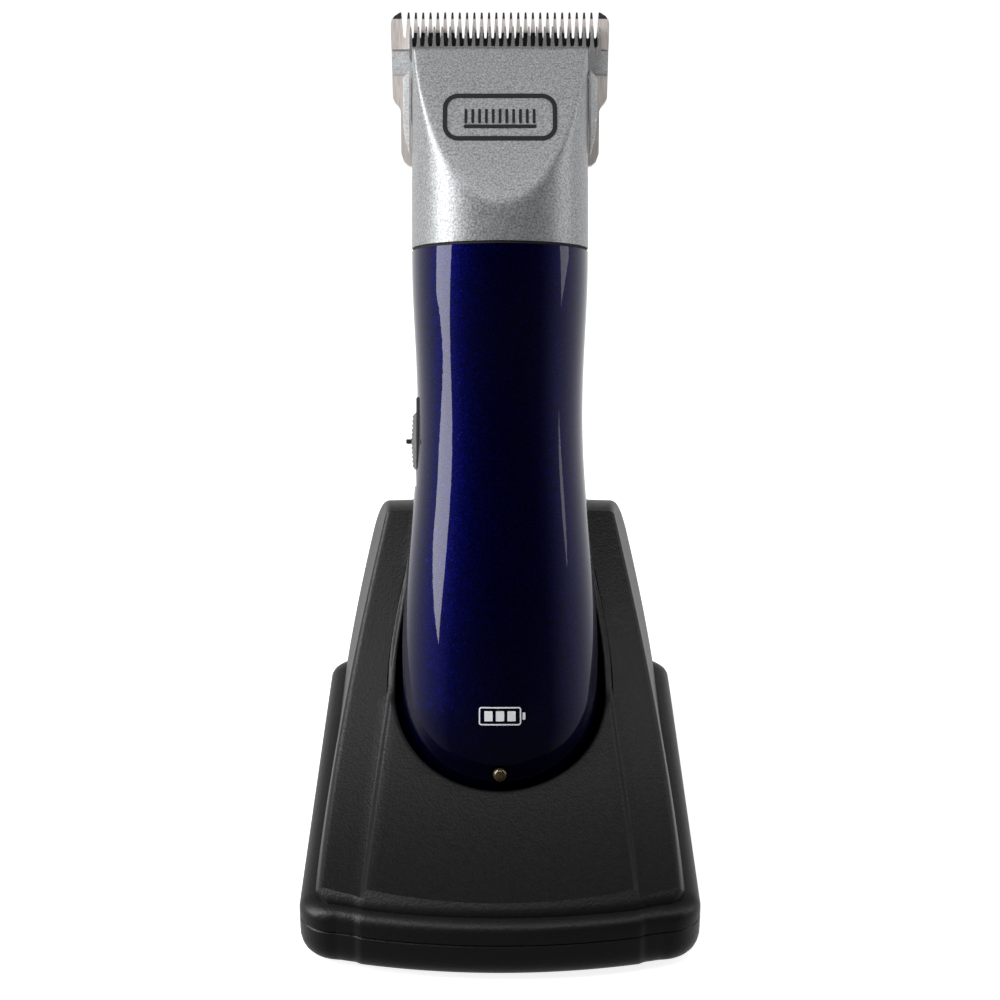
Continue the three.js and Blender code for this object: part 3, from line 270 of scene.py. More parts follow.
# ---------------------------------------------------------------- material tools
def new_material(name, **values):
    material = bpy.data.materials.new(name)
    material.use_nodes = True
    shader = material.node_tree.nodes["Principled BSDF"]
    for key, value in values.items():
        shader.inputs[key.replace("_", " ")].default_value = value
    return material, material.node_tree, shader


def feed(shader, **sources):
    """Links the outputs of other nodes to the shader's inputs."""
    for key, output in sources.items():
        shader.id_data.links.new(output, shader.inputs[key.replace("_", " ")])


def coordinates(tree):
    return tree.nodes.new("ShaderNodeTexCoord").outputs["Object"]


def noise(tree, scale, detail=2.0, vector=None):
    node = tree.nodes.new("ShaderNodeTexNoise")
    node.inputs["Scale"].default_value = scale
    node.inputs["Detail"].default_value = detail
    tree.links.new(vector or coordinates(tree), node.inputs["Vector"])
    return node.outputs["Fac"]


def cells(tree, scale, output="Color"):
    node = tree.nodes.new("ShaderNodeTexVoronoi")
    node.inputs["Scale"].default_value = scale
    tree.links.new(coordinates(tree), node.inputs["Vector"])
    return node.outputs[output]


def ramp(tree, value, stops):
    node = tree.nodes.new("ShaderNodeValToRGB")
    elements = node.color_ramp.elements
    while len(elements) < len(stops):
        elements.new(0.5)
    for element, (place, colour) in zip(elements, stops):
        element.position = place
        element.color = (*colour, 1)
    tree.links.new(value, node.inputs["Fac"])
    return node.outputs["Color"]


def spread(tree, value, low, high):
    node = tree.nodes.new("ShaderNodeMapRange")
    node.inputs["To Min"].default_value = low
    node.inputs["To Max"].default_value = high
    tree.links.new(value, node.inputs["Value"])
    return node.outputs["Result"]


def bump(tree, height, distance, strength=1.0):
    node = tree.nodes.new("ShaderNodeBump")
    node.inputs["Distance"].default_value = distance
    node.inputs["Strength"].default_value = strength
    tree.links.new(height, node.inputs["Height"])
    return node.outputs["Normal"]


def stretched(tree, scale):
    """Coordinates that run slowly along one axis, for brushed and ground metal."""
    node = tree.nodes.new("ShaderNodeMapping")
    node.inputs["Scale"].default_value = scale
    tree.links.new(coordinates(tree), node.inputs["Vector"])
    return node.outputs["Vector"]


# ---------------------------------------------------------------- materials
def blue_lacquer():
    """Dark blue metallic lacquer: fine flakes under a clear coat with a slight orange peel."""
    material, tree, shader = new_material(
        "blue_lacquer", Metallic=1.0, Roughness=0.45, Coat_Weight=1.0, Coat_Roughness=0.02, Coat_IOR=1.4)
    flakes = cells(tree, 5200)
    colour = ramp(tree, flakes, [(0.0, (0.0004, 0.0005, 0.014)), (0.62, (0.0009, 0.0011, 0.044)),
                                 (0.9, (0.003, 0.0045, 0.15)), (1.0, (0.012, 0.018, 0.34))])
    peel = noise(tree, 420, 1.0)
    feed(shader, Base_Color=colour, Normal=bump(tree, flakes, 0.00001, 0.3),
         Coat_Normal=bump(tree, peel, 0.00002, 0.35))
    return material


def satin_silver(name="satin_silver", metallic=0.6, low=(0.22, 0.23, 0.235), high=(0.5, 0.51, 0.52)):
    """Silver lacquer with a visible metallic grain."""
    material, tree, shader = new_material(name, Metallic=metallic)
    grain = noise(tree, 2600, 1.0)
    feed(shader, Base_Color=ramp(tree, grain, [(0.3, low), (0.7, high)]),
         Roughness=spread(tree, grain, 0.32, 0.46), Normal=bump(tree, grain, 0.00005, 0.6))
    return material


def ground_steel(name="ground_steel", low=(0.6, 0.54, 0.51), high=(0.84, 0.78, 0.74)):
    """Steel ground in one direction, with fine warm-grey lines."""
    material, tree, shader = new_material(name, Metallic=0.3)
    lines = noise(tree, 1.0, 3.0, stretched(tree, (4200, 300, 300)))
    feed(shader, Base_Color=ramp(tree, lines, [(0.3, low), (0.7, high)]),
         Roughness=spread(tree, lines, 0.36, 0.5), Normal=bump(tree, lines, 0.00002, 0.4))
    return material


def blasted_steel():
    """Sandblasted steel, for the hollow across the comb."""
    material, tree, shader = new_material("blasted_steel", Metallic=0.3, Roughness=0.55)
    grain = noise(tree, 3000, 2.0)
    colour = ramp(tree, grain, [(0.3, (0.42, 0.43, 0.44)), (0.7, (0.74, 0.76, 0.78))])
    feed(shader, Base_Color=colour, Normal=bump(tree, grain, 0.00006, 0.7))
    return material


def bright_steel(name, colour, rough, metallic=1.0):
    """Polished or plated metal with faint polishing lines."""
    material, tree, shader = new_material(name, Metallic=metallic, Base_Color=(*colour, 1))
    lines = noise(tree, 1.0, 2.0, stretched(tree, (2500, 250, 250)))
    feed(shader, Roughness=spread(tree, lines, *rough), Normal=bump(tree, lines, 0.000005, 0.3))
    return material


def moulded_black():
    """Black plastic with a fine moulded grain."""
    material, tree, shader = new_material("moulded_black", Base_Color=(0.004, 0.004, 0.0042, 1))
    pebbles = cells(tree, 1700, "Distance")
    feed(shader, Normal=bump(tree, pebbles, 0.00006, 0.6),
         Roughness=spread(tree, noise(tree, 900, 2.0), 0.36, 0.5))
    return material


def plain(name, colour, roughness, grain=1500):
    """A quiet finish with a light grain, for small and inner pieces."""
    material, tree, shader = new_material(name, Base_Color=(*colour, 1))
    fine = noise(tree, grain, 2.0)
    feed(shader, Roughness=spread(tree, fine, roughness - 0.06, roughness + 0.06),
         Normal=bump(tree, fine, 0.00002, 0.4))
    return material


def lens_amber():
    """The indicator's clear lens over an unlit amber lamp."""
    material, tree, shader = new_material(
        "lens_amber", Base_Color=(0.07, 0.045, 0.02, 1), Transmission_Weight=0.35, IOR=1.5, Coat_Weight=1.0)
    feed(shader, Roughness=spread(tree, noise(tree, 900), 0.05, 0.14))
    return material


MATERIALS = {
    "handle_blue": blue_lacquer(),
    "head_silver": satin_silver(),
    "comb_steel": ground_steel(),
    "cutter_steel": bright_steel("bright_steel", (0.85, 0.85, 0.86), (0.14, 0.26), 0.75),
    "stand_plastic": moulded_black(),
    "inner_plastic": plain("inner_plastic", (0.02, 0.02, 0.022), 0.5),
    "rubber": plain("rubber", (0.012, 0.012, 0.012), 0.8, grain=2500),
    "led_clear": lens_amber(),
    "switch_chrome": bright_steel("switch_chrome", (0.8, 0.8, 0.82), (0.2, 0.34), 0.6),
    "spring_steel": bright_steel("spring_steel", (0.6, 0.6, 0.61), (0.2, 0.35)),
    "screw_steel": bright_steel("screw_steel", (0.5, 0.5, 0.52), (0.2, 0.35)),
    "motor_steel": bright_steel("motor_steel", (0.6, 0.6, 0.6), (0.25, 0.4)),
    "circuit_board": plain("circuit_board", (0.02, 0.14, 0.06), 0.5),
    "cell_wrap": plain("cell_wrap", (0.05, 0.22, 0.09), 0.35),
    "contact_gold": bright_steel("contact_gold", (0.8, 0.58, 0.25), (0.15, 0.3)),
}


# ---------------------------------------------------------------- the handle
def ease(t):
    """A smooth step from 0 to 1 as t does the same."""
    return (1 - np.cos(np.pi * np.clip(t, 0, 1))) / 2


def body_half(z, axis):
    """Half the handle's width (axis 0) or depth (axis 1), before its lower end is rounded."""
    hip, waist, seam = HIP[axis], WAIST[axis], SEAM[axis]
    low = hip + (waist - hip) * ease((z - HIP_HEIGHT) / (WAIST_HEIGHT - HIP_HEIGHT))
    high = waist + (seam - waist) * ease((z - WAIST_HEIGHT) / (HANDLE_LENGTH - WAIST_HEIGHT))
    return np.where(z > WAIST_HEIGHT, high, low) / 2


def ring_at(half_width, half_depth, z, sides):
    """The points of a level ellipse."""
    a = 2 * np.pi * np.arange(sides) / sides
    return np.column_stack([half_width * np.cos(a), half_depth * np.sin(a), np.full(sides, z)])


def handle_form(inset, top, sides=144, step=2.0, half=body_half):
    """The handle's form, drawn in by an inset, up to a height."""
    rise = END_RISE - inset
    rings = []
    end_steps = 26
    for i in range(1, end_steps):
        a = (math.pi / 2) * i / end_steps
        z, draw_in = END_RISE - rise * math.cos(a), math.sin(a)
        rings.append(ring_at((half(z, 0) - inset) * draw_in, (half(z, 1) - inset) * draw_in, z, sides))
    count = math.ceil((top - END_RISE) / step)
    for i in range(count + 1):
        z = END_RISE + (top - END_RISE) * i / count
        rings.append(ring_at(half(z, 0) - inset, half(z, 1) - inset, z, sides))
    return loft(rings)


def handle_normal(points):
    """The outer skin's true normals at points in the clipper's frame, and how far off the skin they are."""
    x, y, z = points.T

    def halves(level):
        drop = np.clip((END_RISE - level) / END_RISE, 0, 0.9999)
        round_in = np.sqrt(1 - drop**2)
        return body_half(level, 0) * round_in, body_half(level, 1) * round_in

    a, b = halves(z)
    step = 0.01
    (a1, b1), (a0, b0) = halves(z + step), halves(z - step)
    da, db = (a1 - a0) / (2 * step), (b1 - b0) / (2 * step)
    n = np.column_stack([x / a**2, y / b**2, -(x**2) * da / a**3 - y**2 * db / b**3])
    n /= np.maximum(np.linalg.norm(n, axis=1, keepdims=True), 1e-12)
    return n, np.abs(np.sqrt((x / a) ** 2 + (y / b) ** 2) - 1) * np.minimum(a, b)


def true_normals(piece, place):
    """Sets the handle's own normals on its outer skin, so that cuts don't disturb its gloss."""
    mesh = piece.data
    count = len(mesh.loops)
    corner_vertex = np.zeros(count, int)
    mesh.loops.foreach_get("vertex_index", corner_vertex)
    co = np.zeros(len(mesh.vertices) * 3)
    mesh.vertices.foreach_get("co", co)
    local = np.array(place.inverted())
    points = co.reshape(-1, 3) @ local[:3, :3].T + local[:3, 3]
    normals, off = handle_normal(points)
    turn = np.array(place.to_3x3().normalized())
    normals = normals @ turn.T
    corner_normal = np.zeros(count * 3)
    mesh.corner_normals.foreach_get("vector", corner_normal)
    corner_normal = corner_normal.reshape(-1, 3)
    face_normal = np.zeros((count, 3))
    for polygon in mesh.polygons:
        face_normal[polygon.loop_start : polygon.loop_start + polygon.loop_total] = polygon.normal
    on_skin = (off[corner_vertex] < 0.02) & ((face_normal * normals[corner_vertex]).sum(1) > 0.8)
    corner_normal[on_skin] = normals[corner_vertex][on_skin]
    mesh.normals_split_custom_set(corner_normal.tolist())


def local_box(node, place=CLIPPER):
    """A CAD node's lowest and highest corners in the clipper's or the stand's own millimetres."""
    back = place.inverted()
    points = np.array([back @ v.co for v in nodes[node].data.vertices])
    return points.min(0), points.max(0)


def build_handle():
    """The front and rear shells, with their holes and the rear one's screw recesses."""
    half_seam, room = 0.12, 0.15
    bezel_low, bezel_high = local_box("switch_bezel")
    switch_hole = block((-FAR, bezel_high[0] + 1), (bezel_low[1] - room, bezel_high[1] + room),
                        (bezel_low[2] - room, bezel_high[2] + room))
    _, _, led_level = sum(local_box("led_lens")) / 2
    led_hole = rod(2.05, (0, -FAR, led_level), (0, 0, led_level))
    pad_holes = []
    for node in ("charge_pad_left", "charge_pad_right"):
        x, _, _ = sum(local_box(node)) / 2
        pad_holes.append(rod(2.1, (x, 0, -5), (x, 0, 6)))
    screw_recesses = []
    for node in ("shell_screw_upper", "shell_screw_lower"):
        x, _, z = sum(local_box(node)) / 2
        screw_recesses.append(rod(2.9, (x, SPLIT_SETBACK + 3, z), (x, FAR, z)))
    for name, keep, holes in (
        ("handle_front_shell", (-FAR, SPLIT_SETBACK - half_seam), [switch_hole, led_hole, *pad_holes]),
        ("handle_rear_shell", (SPLIT_SETBACK + half_seam, FAR), pad_holes + screw_recesses),
    ):
        shell = make_piece(name + "_skin", *handle_form(0, HANDLE_LENGTH))
        cut(shell, handle_form(HANDLE_WALL, HANDLE_LENGTH + 1, 96, 4.0))
        trim_to(shell, block((-FAR, FAR), keep, (-FAR, FAR)))
        for hole in holes:
            cut(shell, hole)
        shade(shell)
        true_normals(shell, CLIPPER)
        dress(shell, "clipper", "handle_blue", name)


# ---------------------------------------------------------------- the head
def facet_setback(z):
    """How far back the head's sloping facet is at a height."""
    return -FACET_TOP - (HEAD_TOP - z) * (HEAD_HALF[1] - FACET_TOP) / FACET_LENGTH


def head_ring(z, inset, split):
    """The head cover's section: an ellipse's front, flattened by the facet, closed at the split plane."""
    soft, points = 0.85, 120
    half_width, half_depth = HEAD_HALF[0] - inset, HEAD_HALF[1] - inset
    start = math.asin(-split / half_depth)
    angles = np.linspace(start, math.pi - start, points)
    x, y = half_width * np.cos(angles), -half_depth * np.sin(angles)
    slope = (HEAD_HALF[1] - FACET_TOP) / FACET_LENGTH
    facet = facet_setback(z) + inset * math.hypot(1, slope)
    y = (y + facet + np.sqrt((y - facet) ** 2 + soft**2)) / 2
    return np.column_stack([x, np.minimum(y, split), np.full(points, z)])


def build_head_cover():
    """The cover in front of the head, with a rounded top edge."""
    edge = 0.8
    rings = [head_ring(z, 0, HEAD_SPLIT) for z in np.linspace(HEAD_BASE, HEAD_TOP - edge, 110)]
    for a in np.linspace(0, math.pi / 2, 7)[1:]:
        ring = head_ring(HEAD_TOP - edge + edge * math.sin(a), 0, HEAD_SPLIT)
        shrink = edge * (1 - math.cos(a))
        ring[:, 0] *= 1 - shrink / HEAD_HALF[0]
        ring[:, 1] = np.minimum(ring[:, 1] + shrink, HEAD_SPLIT)
        rings.append(ring)
    cover = make_piece("head_cover_skin", *loft(rings))
    hollow = [head_ring(z, HEAD_WALL, 2) for z in np.linspace(HEAD_BASE - 1, HEAD_TOP - HEAD_WALL, 24)]
    cut(cover, loft(hollow))
    shade(cover, 28)
    dress(cover, "clipper", "head_silver", "head_cover")


COMB_HEEL, COMB_TIP, CUTTER_TIP = HEAD_TOP - 25.3, HEAD_TOP + 9.9, HEAD_TOP + 6.3
CHEEK_BASE, CHEEK_HEIGHT, CHEEK_HALF = COMB_HEEL - 2.9, 24.4, 21.7
COMB_FRONT, COMB_BACK = 8, 11
WALL_FRONT, WALL_BACK, DRIVE_BACK = -1.35, 1.15, 5.03
DRIVE_TOP = 147.2
HINGE_LEVEL, HINGE_SETBACK, KNUCKLE = COMB_HEEL - 2.5, 8.5, 2.2


def head_tube(inset, low, high):
    """The head's full ellipse between two heights."""
    return loft([ring_at(HEAD_HALF[0] - inset, HEAD_HALF[1] - inset, z, 144) for z in (low, high)])


def build_gasket():
    ring = head_tube(0.3, HANDLE_LENGTH + 0.1, HANDLE_LENGTH + 0.6)
    gasket = make_piece("head_gasket_ring", *ring)
    cut(gasket, head_tube(HANDLE_WALL + 0.2, HANDLE_LENGTH - 1, HANDLE_LENGTH + 2))
    dress(shade(gasket), "clipper", "rubber", "head_gasket")


def cheek_outline(half, inset):
    """The head's cheeks: long rounded lower corners and cut upper corners."""
    right = []
    for a in np.linspace(0, math.pi / 2, 17):
        right.append((half - 6 * (1 - math.sin(a)), CHEEK_BASE + inset + 13.2 * (1 - math.cos(a))))
    top = CHEEK_BASE + CHEEK_HEIGHT
    right += [(half, top - 3.2), (half - 2.4, top - inset)]
    return mirrored(right)


def above_roof(drop):
    """What is above the neck's roof, which falls to the back under the hinge."""
    slope, gap = 0.5, 0.3
    level = HINGE_LEVEL + slope * (HINGE_SETBACK - DRIVE_BACK)
    level -= (KNUCKLE + gap) * math.hypot(1, slope) + drop
    outline = [(-FAR, FAR), (-FAR, level), (DRIVE_BACK, level), (FAR, level - slope * (FAR - DRIVE_BACK)),
               (FAR, FAR)]
    return slab_x(outline, -FAR, FAR)


def build_housing():
    """The neck behind the head cover, with the drive's housing, its wall and the hinge's ears."""
    box_half, box_wall = 10.3, 1.4
    housing = make_piece("head_housing_body", *head_tube(0, HEAD_BASE, CHEEK_BASE))
    cut(housing, above_roof(0))
    drive = block((-box_half, box_half), (WALL_FRONT, DRIVE_BACK), (CHEEK_BASE - 3, DRIVE_TOP + 1))
    join(housing, drive)
    hollow = make_piece("hollow", *head_tube(HEAD_WALL, HEAD_BASE - 1, CHEEK_BASE))
    cut(hollow, above_roof(HEAD_WALL))
    merge(housing, hollow, "DIFFERENCE")
    room = block((box_wall - box_half, box_half - box_wall), (-FAR, DRIVE_BACK - box_wall),
                 (HEAD_BASE + 3, DRIVE_TOP))
    cut(housing, room)
    wall = slab(cheek_outline(CHEEK_HALF - 1.8, 0.6), WALL_FRONT, WALL_BACK)
    join(housing, wall)
    cut(housing, room)
    seat = block((-4.5, 4.5), (DRIVE_BACK + 0.2, DRIVE_BACK + 1.8), (HEAD_BASE + 2.5, CHEEK_BASE - 2.3))
    join(housing, seat)
    for side in (-1, 1):
        x = sorted((side * 9.4, side * 12.4))
        base, front = CHEEK_BASE - 5.5, DRIVE_BACK - 2.5
        for back, top in ((HINGE_SETBACK, HINGE_LEVEL + KNUCKLE), (HINGE_SETBACK + KNUCKLE, HINGE_LEVEL)):
            join(housing, block(x, (front, back), (base, top)))
        ear = rod(KNUCKLE, (x[0], HINGE_SETBACK, HINGE_LEVEL), (x[1], HINGE_SETBACK, HINGE_LEVEL))
        join(housing, ear)
    cut(housing, block((-FAR, FAR), (-FAR, WALL_FRONT), (-FAR, FAR)))
    lever_top = local_box("drive_lever")[1][2]
    window = block((-4.7, 4.7), (-FAR, WALL_BACK + 1), (lever_top - 4.4, lever_top + 1.2))
    cut(housing, window)
    pin_hole = rod(1.25, (-FAR, HINGE_SETBACK, HINGE_LEVEL), (FAR, HINGE_SETBACK, HINGE_LEVEL))
    cut(housing, pin_hole)
    _, _, pivot = sum(local_box("lever_pivot_pin")) / 2
    cut(housing, rod(1.4, (0, -FAR, pivot), (0, WALL_FRONT + 1.25, pivot)))
    low, high = local_box("blade_latch")
    latch_hole = block((-4.6, 4.6), (DRIVE_BACK + 3.8, FAR), (low[2] - 0.4, high[2] + 0.4))
    cut(housing, latch_hole)
    dress(shade(housing), "clipper", "head_silver", "head_housing")


def build_cheeks():
    """The two side panels, each with a line across its outer edge."""
    # A paler, less metallic copy of the head silver: painted light that makes the side panels look brightly lit.
    silver = satin_silver("painted_light_silver", 0.25, (0.62, 0.63, 0.64), (0.9, 0.91, 0.92))
    for name, side in (("side_panel_left", -1), ("side_panel_right", 1)):
        low, high = local_box(name)
        panel = make_piece(name + "_trim", *slab(cheek_outline(CHEEK_HALF, 0), low[1], high[1]))
        keep = sorted((side * (CHEEK_HALF - 1.5), side * FAR))
        trim_to(panel, block(keep, (-FAR, FAR), (-FAR, FAR)))
        bevel(panel, 0.6, 3)
        notch = sorted((side * (CHEEK_HALF - 0.5), side * FAR))
        level = CHEEK_BASE + 11.6
        cut(panel, block(notch, (-FAR, FAR), (level - 0.45, level + 0.45)))
        dress(shade(panel), "clipper", "head_silver", name, material=silver)


# ---------------------------------------------------------------- the blades
def tooth_places(count, pitch):
    """The middles of a row of teeth, from right to left."""
    return [(count - 1) * pitch / 2 - i * pitch for i in range(count)]


def tooth_edge(count, depth, tip, gap, pitch, level):
    """The toothed edge of a plate from right to left, with rounded gaps and tips."""
    points = []
    for i, x in enumerate(tooth_places(count, pitch)):
        half = pitch / 2 - gap / 2
        if i:
            points += [(x + half + gap * 0.3, level - depth), (x + half, level - depth + gap * 0.4)]
        points += [(x + tip / 2, level - tip * 0.5), (x + tip / 4, level), (x - tip / 4, level)]
        points.append((x - tip / 2, level - tip * 0.5))
        if i + 1 < count:
            points += [(x - half, level - depth + gap * 0.4), (x - half - gap * 0.3, level - depth)]
    return points


def sort_faces(piece, materials, choose):
    """Gives each face one of several materials by its middle and normal in the clipper's millimetres."""
    mesh = piece.data
    back = CLIPPER.inverted()
    turn = back.to_3x3().normalized()
    for material in materials:
        mesh.materials.append(material)
    for face in mesh.polygons:
        face.material_index = choose(back @ face.center, turn @ face.normal)


def build_comb():
    """The wide comb: ground steel, a sandblasted hollow across it, and painted shade on its tip bevels and relief
    floor.
    """
    tip_half, heel_half, outer = 24.9, 22.5, 2.4
    teeth, gap_depth, hollow_height = 26, 5.9, 5.7
    heel, tip, face = COMB_HEEL, COMB_TIP, COMB_FRONT
    inside, root = tip_half - outer, tip - gap_depth
    right = [(heel_half - 3, heel), (heel_half - 1.6, heel + 0.3), (heel_half - 0.6, heel + 1.2),
             (heel_half, heel + 3), (heel_half + 0.1, heel + 12.6), (heel_half + 0.5, heel + 13.6),
             (tip_half - 1, heel + 14.6), (tip_half - 0.5, heel + 15.6), (tip_half, tip - 3),
             (tip_half - 0.15, tip - 1.9), (tip_half - 0.8, tip - 0.9), (tip_half - 1.8, tip - 0.2),
             (tip_half - 2.2, tip), (inside, tip), (inside - 0.5, root + 0.4), (inside - 0.75, root),
             (inside - 1, root)]
    edge = tooth_edge(teeth, gap_depth, 0.45, 0.5, 2 * inside / (teeth + 1), tip)
    comb = make_piece("comb_blade_plate", *slab(mirrored(right, edge), face - 1, COMB_BACK + 1))
    side = [(face, heel), (COMB_BACK, heel), (COMB_BACK, tip - 14), (face + 1.1, tip), (face + 0.4, tip),
            (face, tip - 1.6)]
    trim_to(comb, slab_x(side, -FAR, FAR))
    top, floor = tip - 8.65, face + 0.5
    bottom = top - hollow_height
    hollow = [(face - 1, bottom), (floor - 0.2, bottom), (floor, bottom + 0.2), (floor, top - 0.2),
              (floor - 0.2, top), (face - 1, top)]
    cut(comb, slab_x(hollow, -FAR, FAR))
    for level in (top, bottom):
        line = block((-FAR, FAR), (face - 1, face + 0.75), (level - 0.12, level + 0.12))
        cut(comb, line)
    relief = block((-20.2, 22.2), (face - 1, face + 0.6), (tip - 8.45, tip - 4.7))
    cut(comb, relief)
    for screw in ("blade_screw_left", "blade_screw_right"):
        x, _, z = sum(local_box(screw)) / 2
        cut(comb, rod(1.5, (x, 0, z), (x, FAR, z)))
    comb.data.materials.clear()

    def region(middle, normal):
        # Tip bevels facing the front: near-black steel, a painted dark reflection.
        if middle.z > tip - 1.7 and normal.y < -0.5 and normal.z > 0.05:
            return 2
        # Floor of the relief behind the cutter's teeth: near-black steel, painted shade.
        if normal.y < -0.9 and middle.z > top and middle.y > face + 0.4:
            return 2
        if normal.y < -0.9 and bottom < middle.z < top and middle.y > face + 0.3:
            return 1
        return 0

    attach(comb, "blade_set")
    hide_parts("comb_blade")
    # A near-black copy of the ground steel: painted shade and painted dark reflection for the tip bevels and the
    # relief floor.
    dark = ground_steel("painted_shade_steel", (0.012, 0.012, 0.014), (0.03, 0.03, 0.035))
    sort_faces(comb, (MATERIALS["comb_steel"], blasted_steel(), dark), region)
    shade(comb, 20)


def build_cutter():
    """The narrower cutter in front of the comb, with a hollow-ground groove between each pair of teeth."""
    rest_offset = 1.19  # half a stroke to the right
    back, front = COMB_FRONT - 0.2, COMB_FRONT - 2.6
    half, waist, heel, tip = 21.7, 18.5, COMB_HEEL + 9, CUTTER_TIP
    teeth, gap_depth = 25, 4.7
    lobe = tip - gap_depth - 4.4
    right = [(waist - 6, heel), (waist - 1, heel + 3.3), (waist, heel + 4), (waist, lobe - 1.4),
             (waist + 0.6, lobe - 0.7), (half - 1.6, lobe), (half - 0.5, lobe + 0.6), (half, lobe + 1.6),
             (half, tip - 1), (half - 0.2, tip)]
    pitch = (2 * half - 0.44) / (teeth - 1)
    edge = tooth_edge(teeth, gap_depth, 0.35, 0.9, pitch, tip)[3:-3]
    cutter = make_piece("cutter_blade_plate", *slab(mirrored(right, edge), front, back))
    lever_top = local_box("drive_lever")[1][2]
    cut(cutter, block((-2.4, 2.4), (-FAR, FAR), (-FAR, lever_top + 1.6)))
    grind = [(back - 0.9, tip + 1), (front - 1, tip - 4.5), (front - 3, tip + 1)]
    cut(cutter, slab_x(grind, -FAR, FAR))
    sections = ((tip + 1, pitch * 0.46, 2.3), (tip - gap_depth, 0.7, 1.7), (tip - 6.6, 0.35, 0.3))
    for x in tooth_places(teeth - 1, pitch):
        groove = []
        for z, width, depth in sections:
            groove.append([(x - width, front - 0.6, z), (x + width, front - 0.6, z), (x, front + depth, z)])
        cut(cutter, loft(groove))
    cutter.data.transform(Matrix.Translation((rest_offset * MM, 0, 0)))
    dress(shade(cutter, 20), "cutter", "cutter_steel", "cutter_blade")


# ---------------------------------------------------------------- small pieces
def cross_screw(node, place, body, axis, head, height):
    """A pan-head screw with a cross recess, of its CAD node's length. The axis points out of its head."""
    low, high = local_box(node, place)
    out = Vector(axis)
    reach = abs(Vector(high - low).dot(out))
    start = Vector((low + high) / 2) - out * reach / 2
    under_head, shank = reach - height, 1.3
    profile = [(shank * 0.6, 0), (shank, 0.5), (shank, under_head), (head, under_head),
               (head, under_head + height * 0.45), (head * 0.86, under_head + height * 0.8),
               (head * 0.5, reach)]
    screw = make_piece(node + "_head", *turned(profile, start, out), place)
    turn = out.to_track_quat("Z", "Y")
    for x, y in ((0.62 * head, 0.14 * head), (0.14 * head, 0.62 * head)):
        corners, faces = block((-x, x), (-y, y), (under_head + height * 0.35, reach + 1))
        cut(screw, ([start + turn @ Vector(p) for p in corners], faces), place)
    dress(shade(screw), body, "screw_steel", node)


def build_screws():
    for end in ("upper", "lower"):
        cross_screw("shell_screw_" + end, CLIPPER, "clipper", (0, 1, 0), 2.6, 1.8)
    for side in ("left", "right"):
        cross_screw("blade_screw_" + side, CLIPPER, "blade_set", (0, -1, 0), 2.2, 1)
    for corner in CORNERS:
        cross_screw("tray_screw_" + corner, STAND, "stand", (0, 0, -1), 2.6, 1)


def build_feet():
    for corner in CORNERS:
        node = "foot_" + corner
        low, high = local_box(node, STAND)
        x, y, _ = (low + high) / 2
        profile = [(3.2, 0.25), (3.6, 0.05), (4.2, 0), (4.7, 0.12), (5, 0.5), (5, high[2] - low[2])]
        foot = make_piece(node + "_pad", *turned(profile, (x, y, low[2]), (0, 0, 1)), STAND)
        dress(shade(foot), "stand", "rubber", node)


def build_lens():
    """The indicator's domed lens."""
    low, high = local_box("led_lens")
    x, _, z = (low + high) / 2
    length = high[1] - low[1]
    profile = [(1.6 * math.sin(a), 1.3 * (1 - math.cos(a))) for a in np.linspace(0.12, math.pi / 2, 9)]
    profile += [(1.6, length - 0.2), (1.4, length)]
    lens = make_piece("led_lens_dome", *turned(profile, (x, low[1], z), (0, 1, 0)))
    dress(shade(lens), "clipper", "led_clear", "led_lens")


def build_contacts():
    """The two charge pads in the handle's end, and the stand's two sprung pins under them."""
    def contact(node, ending, body, profile):
        low, high = local_box(node)
        x, length = (low[0] + high[0]) / 2, high[2] - low[2]
        outline = profile(length)
        piece = make_piece(node + ending, *turned(outline, (x, 0, low[2]), (0, 0, 1)))
        dress(shade(piece), body, "contact_gold", node)

    def pad(length):
        return [(1.3, 0.15), (1.5, 0), (1.72, 0.05), (1.8, 0.3), (1.8, length)]

    def pin(length):
        return [(0.7, 0), (1, 0.3), (1, 1.5), (1.7, 1.5), (1.7, 2.3), (1, 2.3), (1, length - 0.5),
                (0.8, length - 0.15), (0.4, length)]

    for side in ("left", "right"):
        contact("charge_pad_" + side, "_face", "clipper", pad)
    for side in ("left", "right"):
        contact("contact_pin_" + side, "_tip", "pin_" + side, pin)


def build_switch():
    """The thumb slider: a shallow arch with grip ribs, a dark stub in its middle and a stem behind."""
    bezel_low, bezel_high = local_box("switch_bezel")
    low, high = local_box("switch_slider")
    seat, level = bezel_low[0] + 0.1, (low[2] + high[2]) / 2
    half, crown = 6.5, 1.3
    outline = [(seat + 1.6, level - half), (seat + 1.6, level + half)]
    for z in np.linspace(half, -half, 105):
        arch = crown * (0.7 + 0.3 * (1 - abs(z) / half)) - 0.6 * max(0, abs(z) - half + 0.6) / 0.6
        rib = 0.22 * (0.5 + 0.5 * math.cos(2 * math.pi * z)) if abs(z) < half - 0.8 else 0.2
        outline.append((seat - arch + rib, level + z))
    slider = make_piece("switch_slider_thumb", *slab(outline, -2.3, 2.3))
    join(slider, block((seat + 1.5, high[0]), (-1, 1), (level - 1, level + 1)))
    dress(shade(slider, 40), "switch", "switch_chrome", "switch_slider")
    stub_shape = block((low[0], seat - 0.4), (-2, 2), (level - 0.5, level + 0.5))
    stub = make_piece("switch_slider_stub", *stub_shape)
    bevel(stub, 0.18)
    dress(shade(stub), "switch", "inner_plastic")
    bezel = make_piece("switch_bezel_frame", *block(*zip(bezel_low, bezel_high)))
    bevel(bezel, 0.3)
    room = block((-FAR, FAR), (-2.5, 2.5), (level - 9.3, level + 9.3))
    cut(bezel, room)
    dress(shade(bezel), "clipper", "inner_plastic", "switch_bezel")


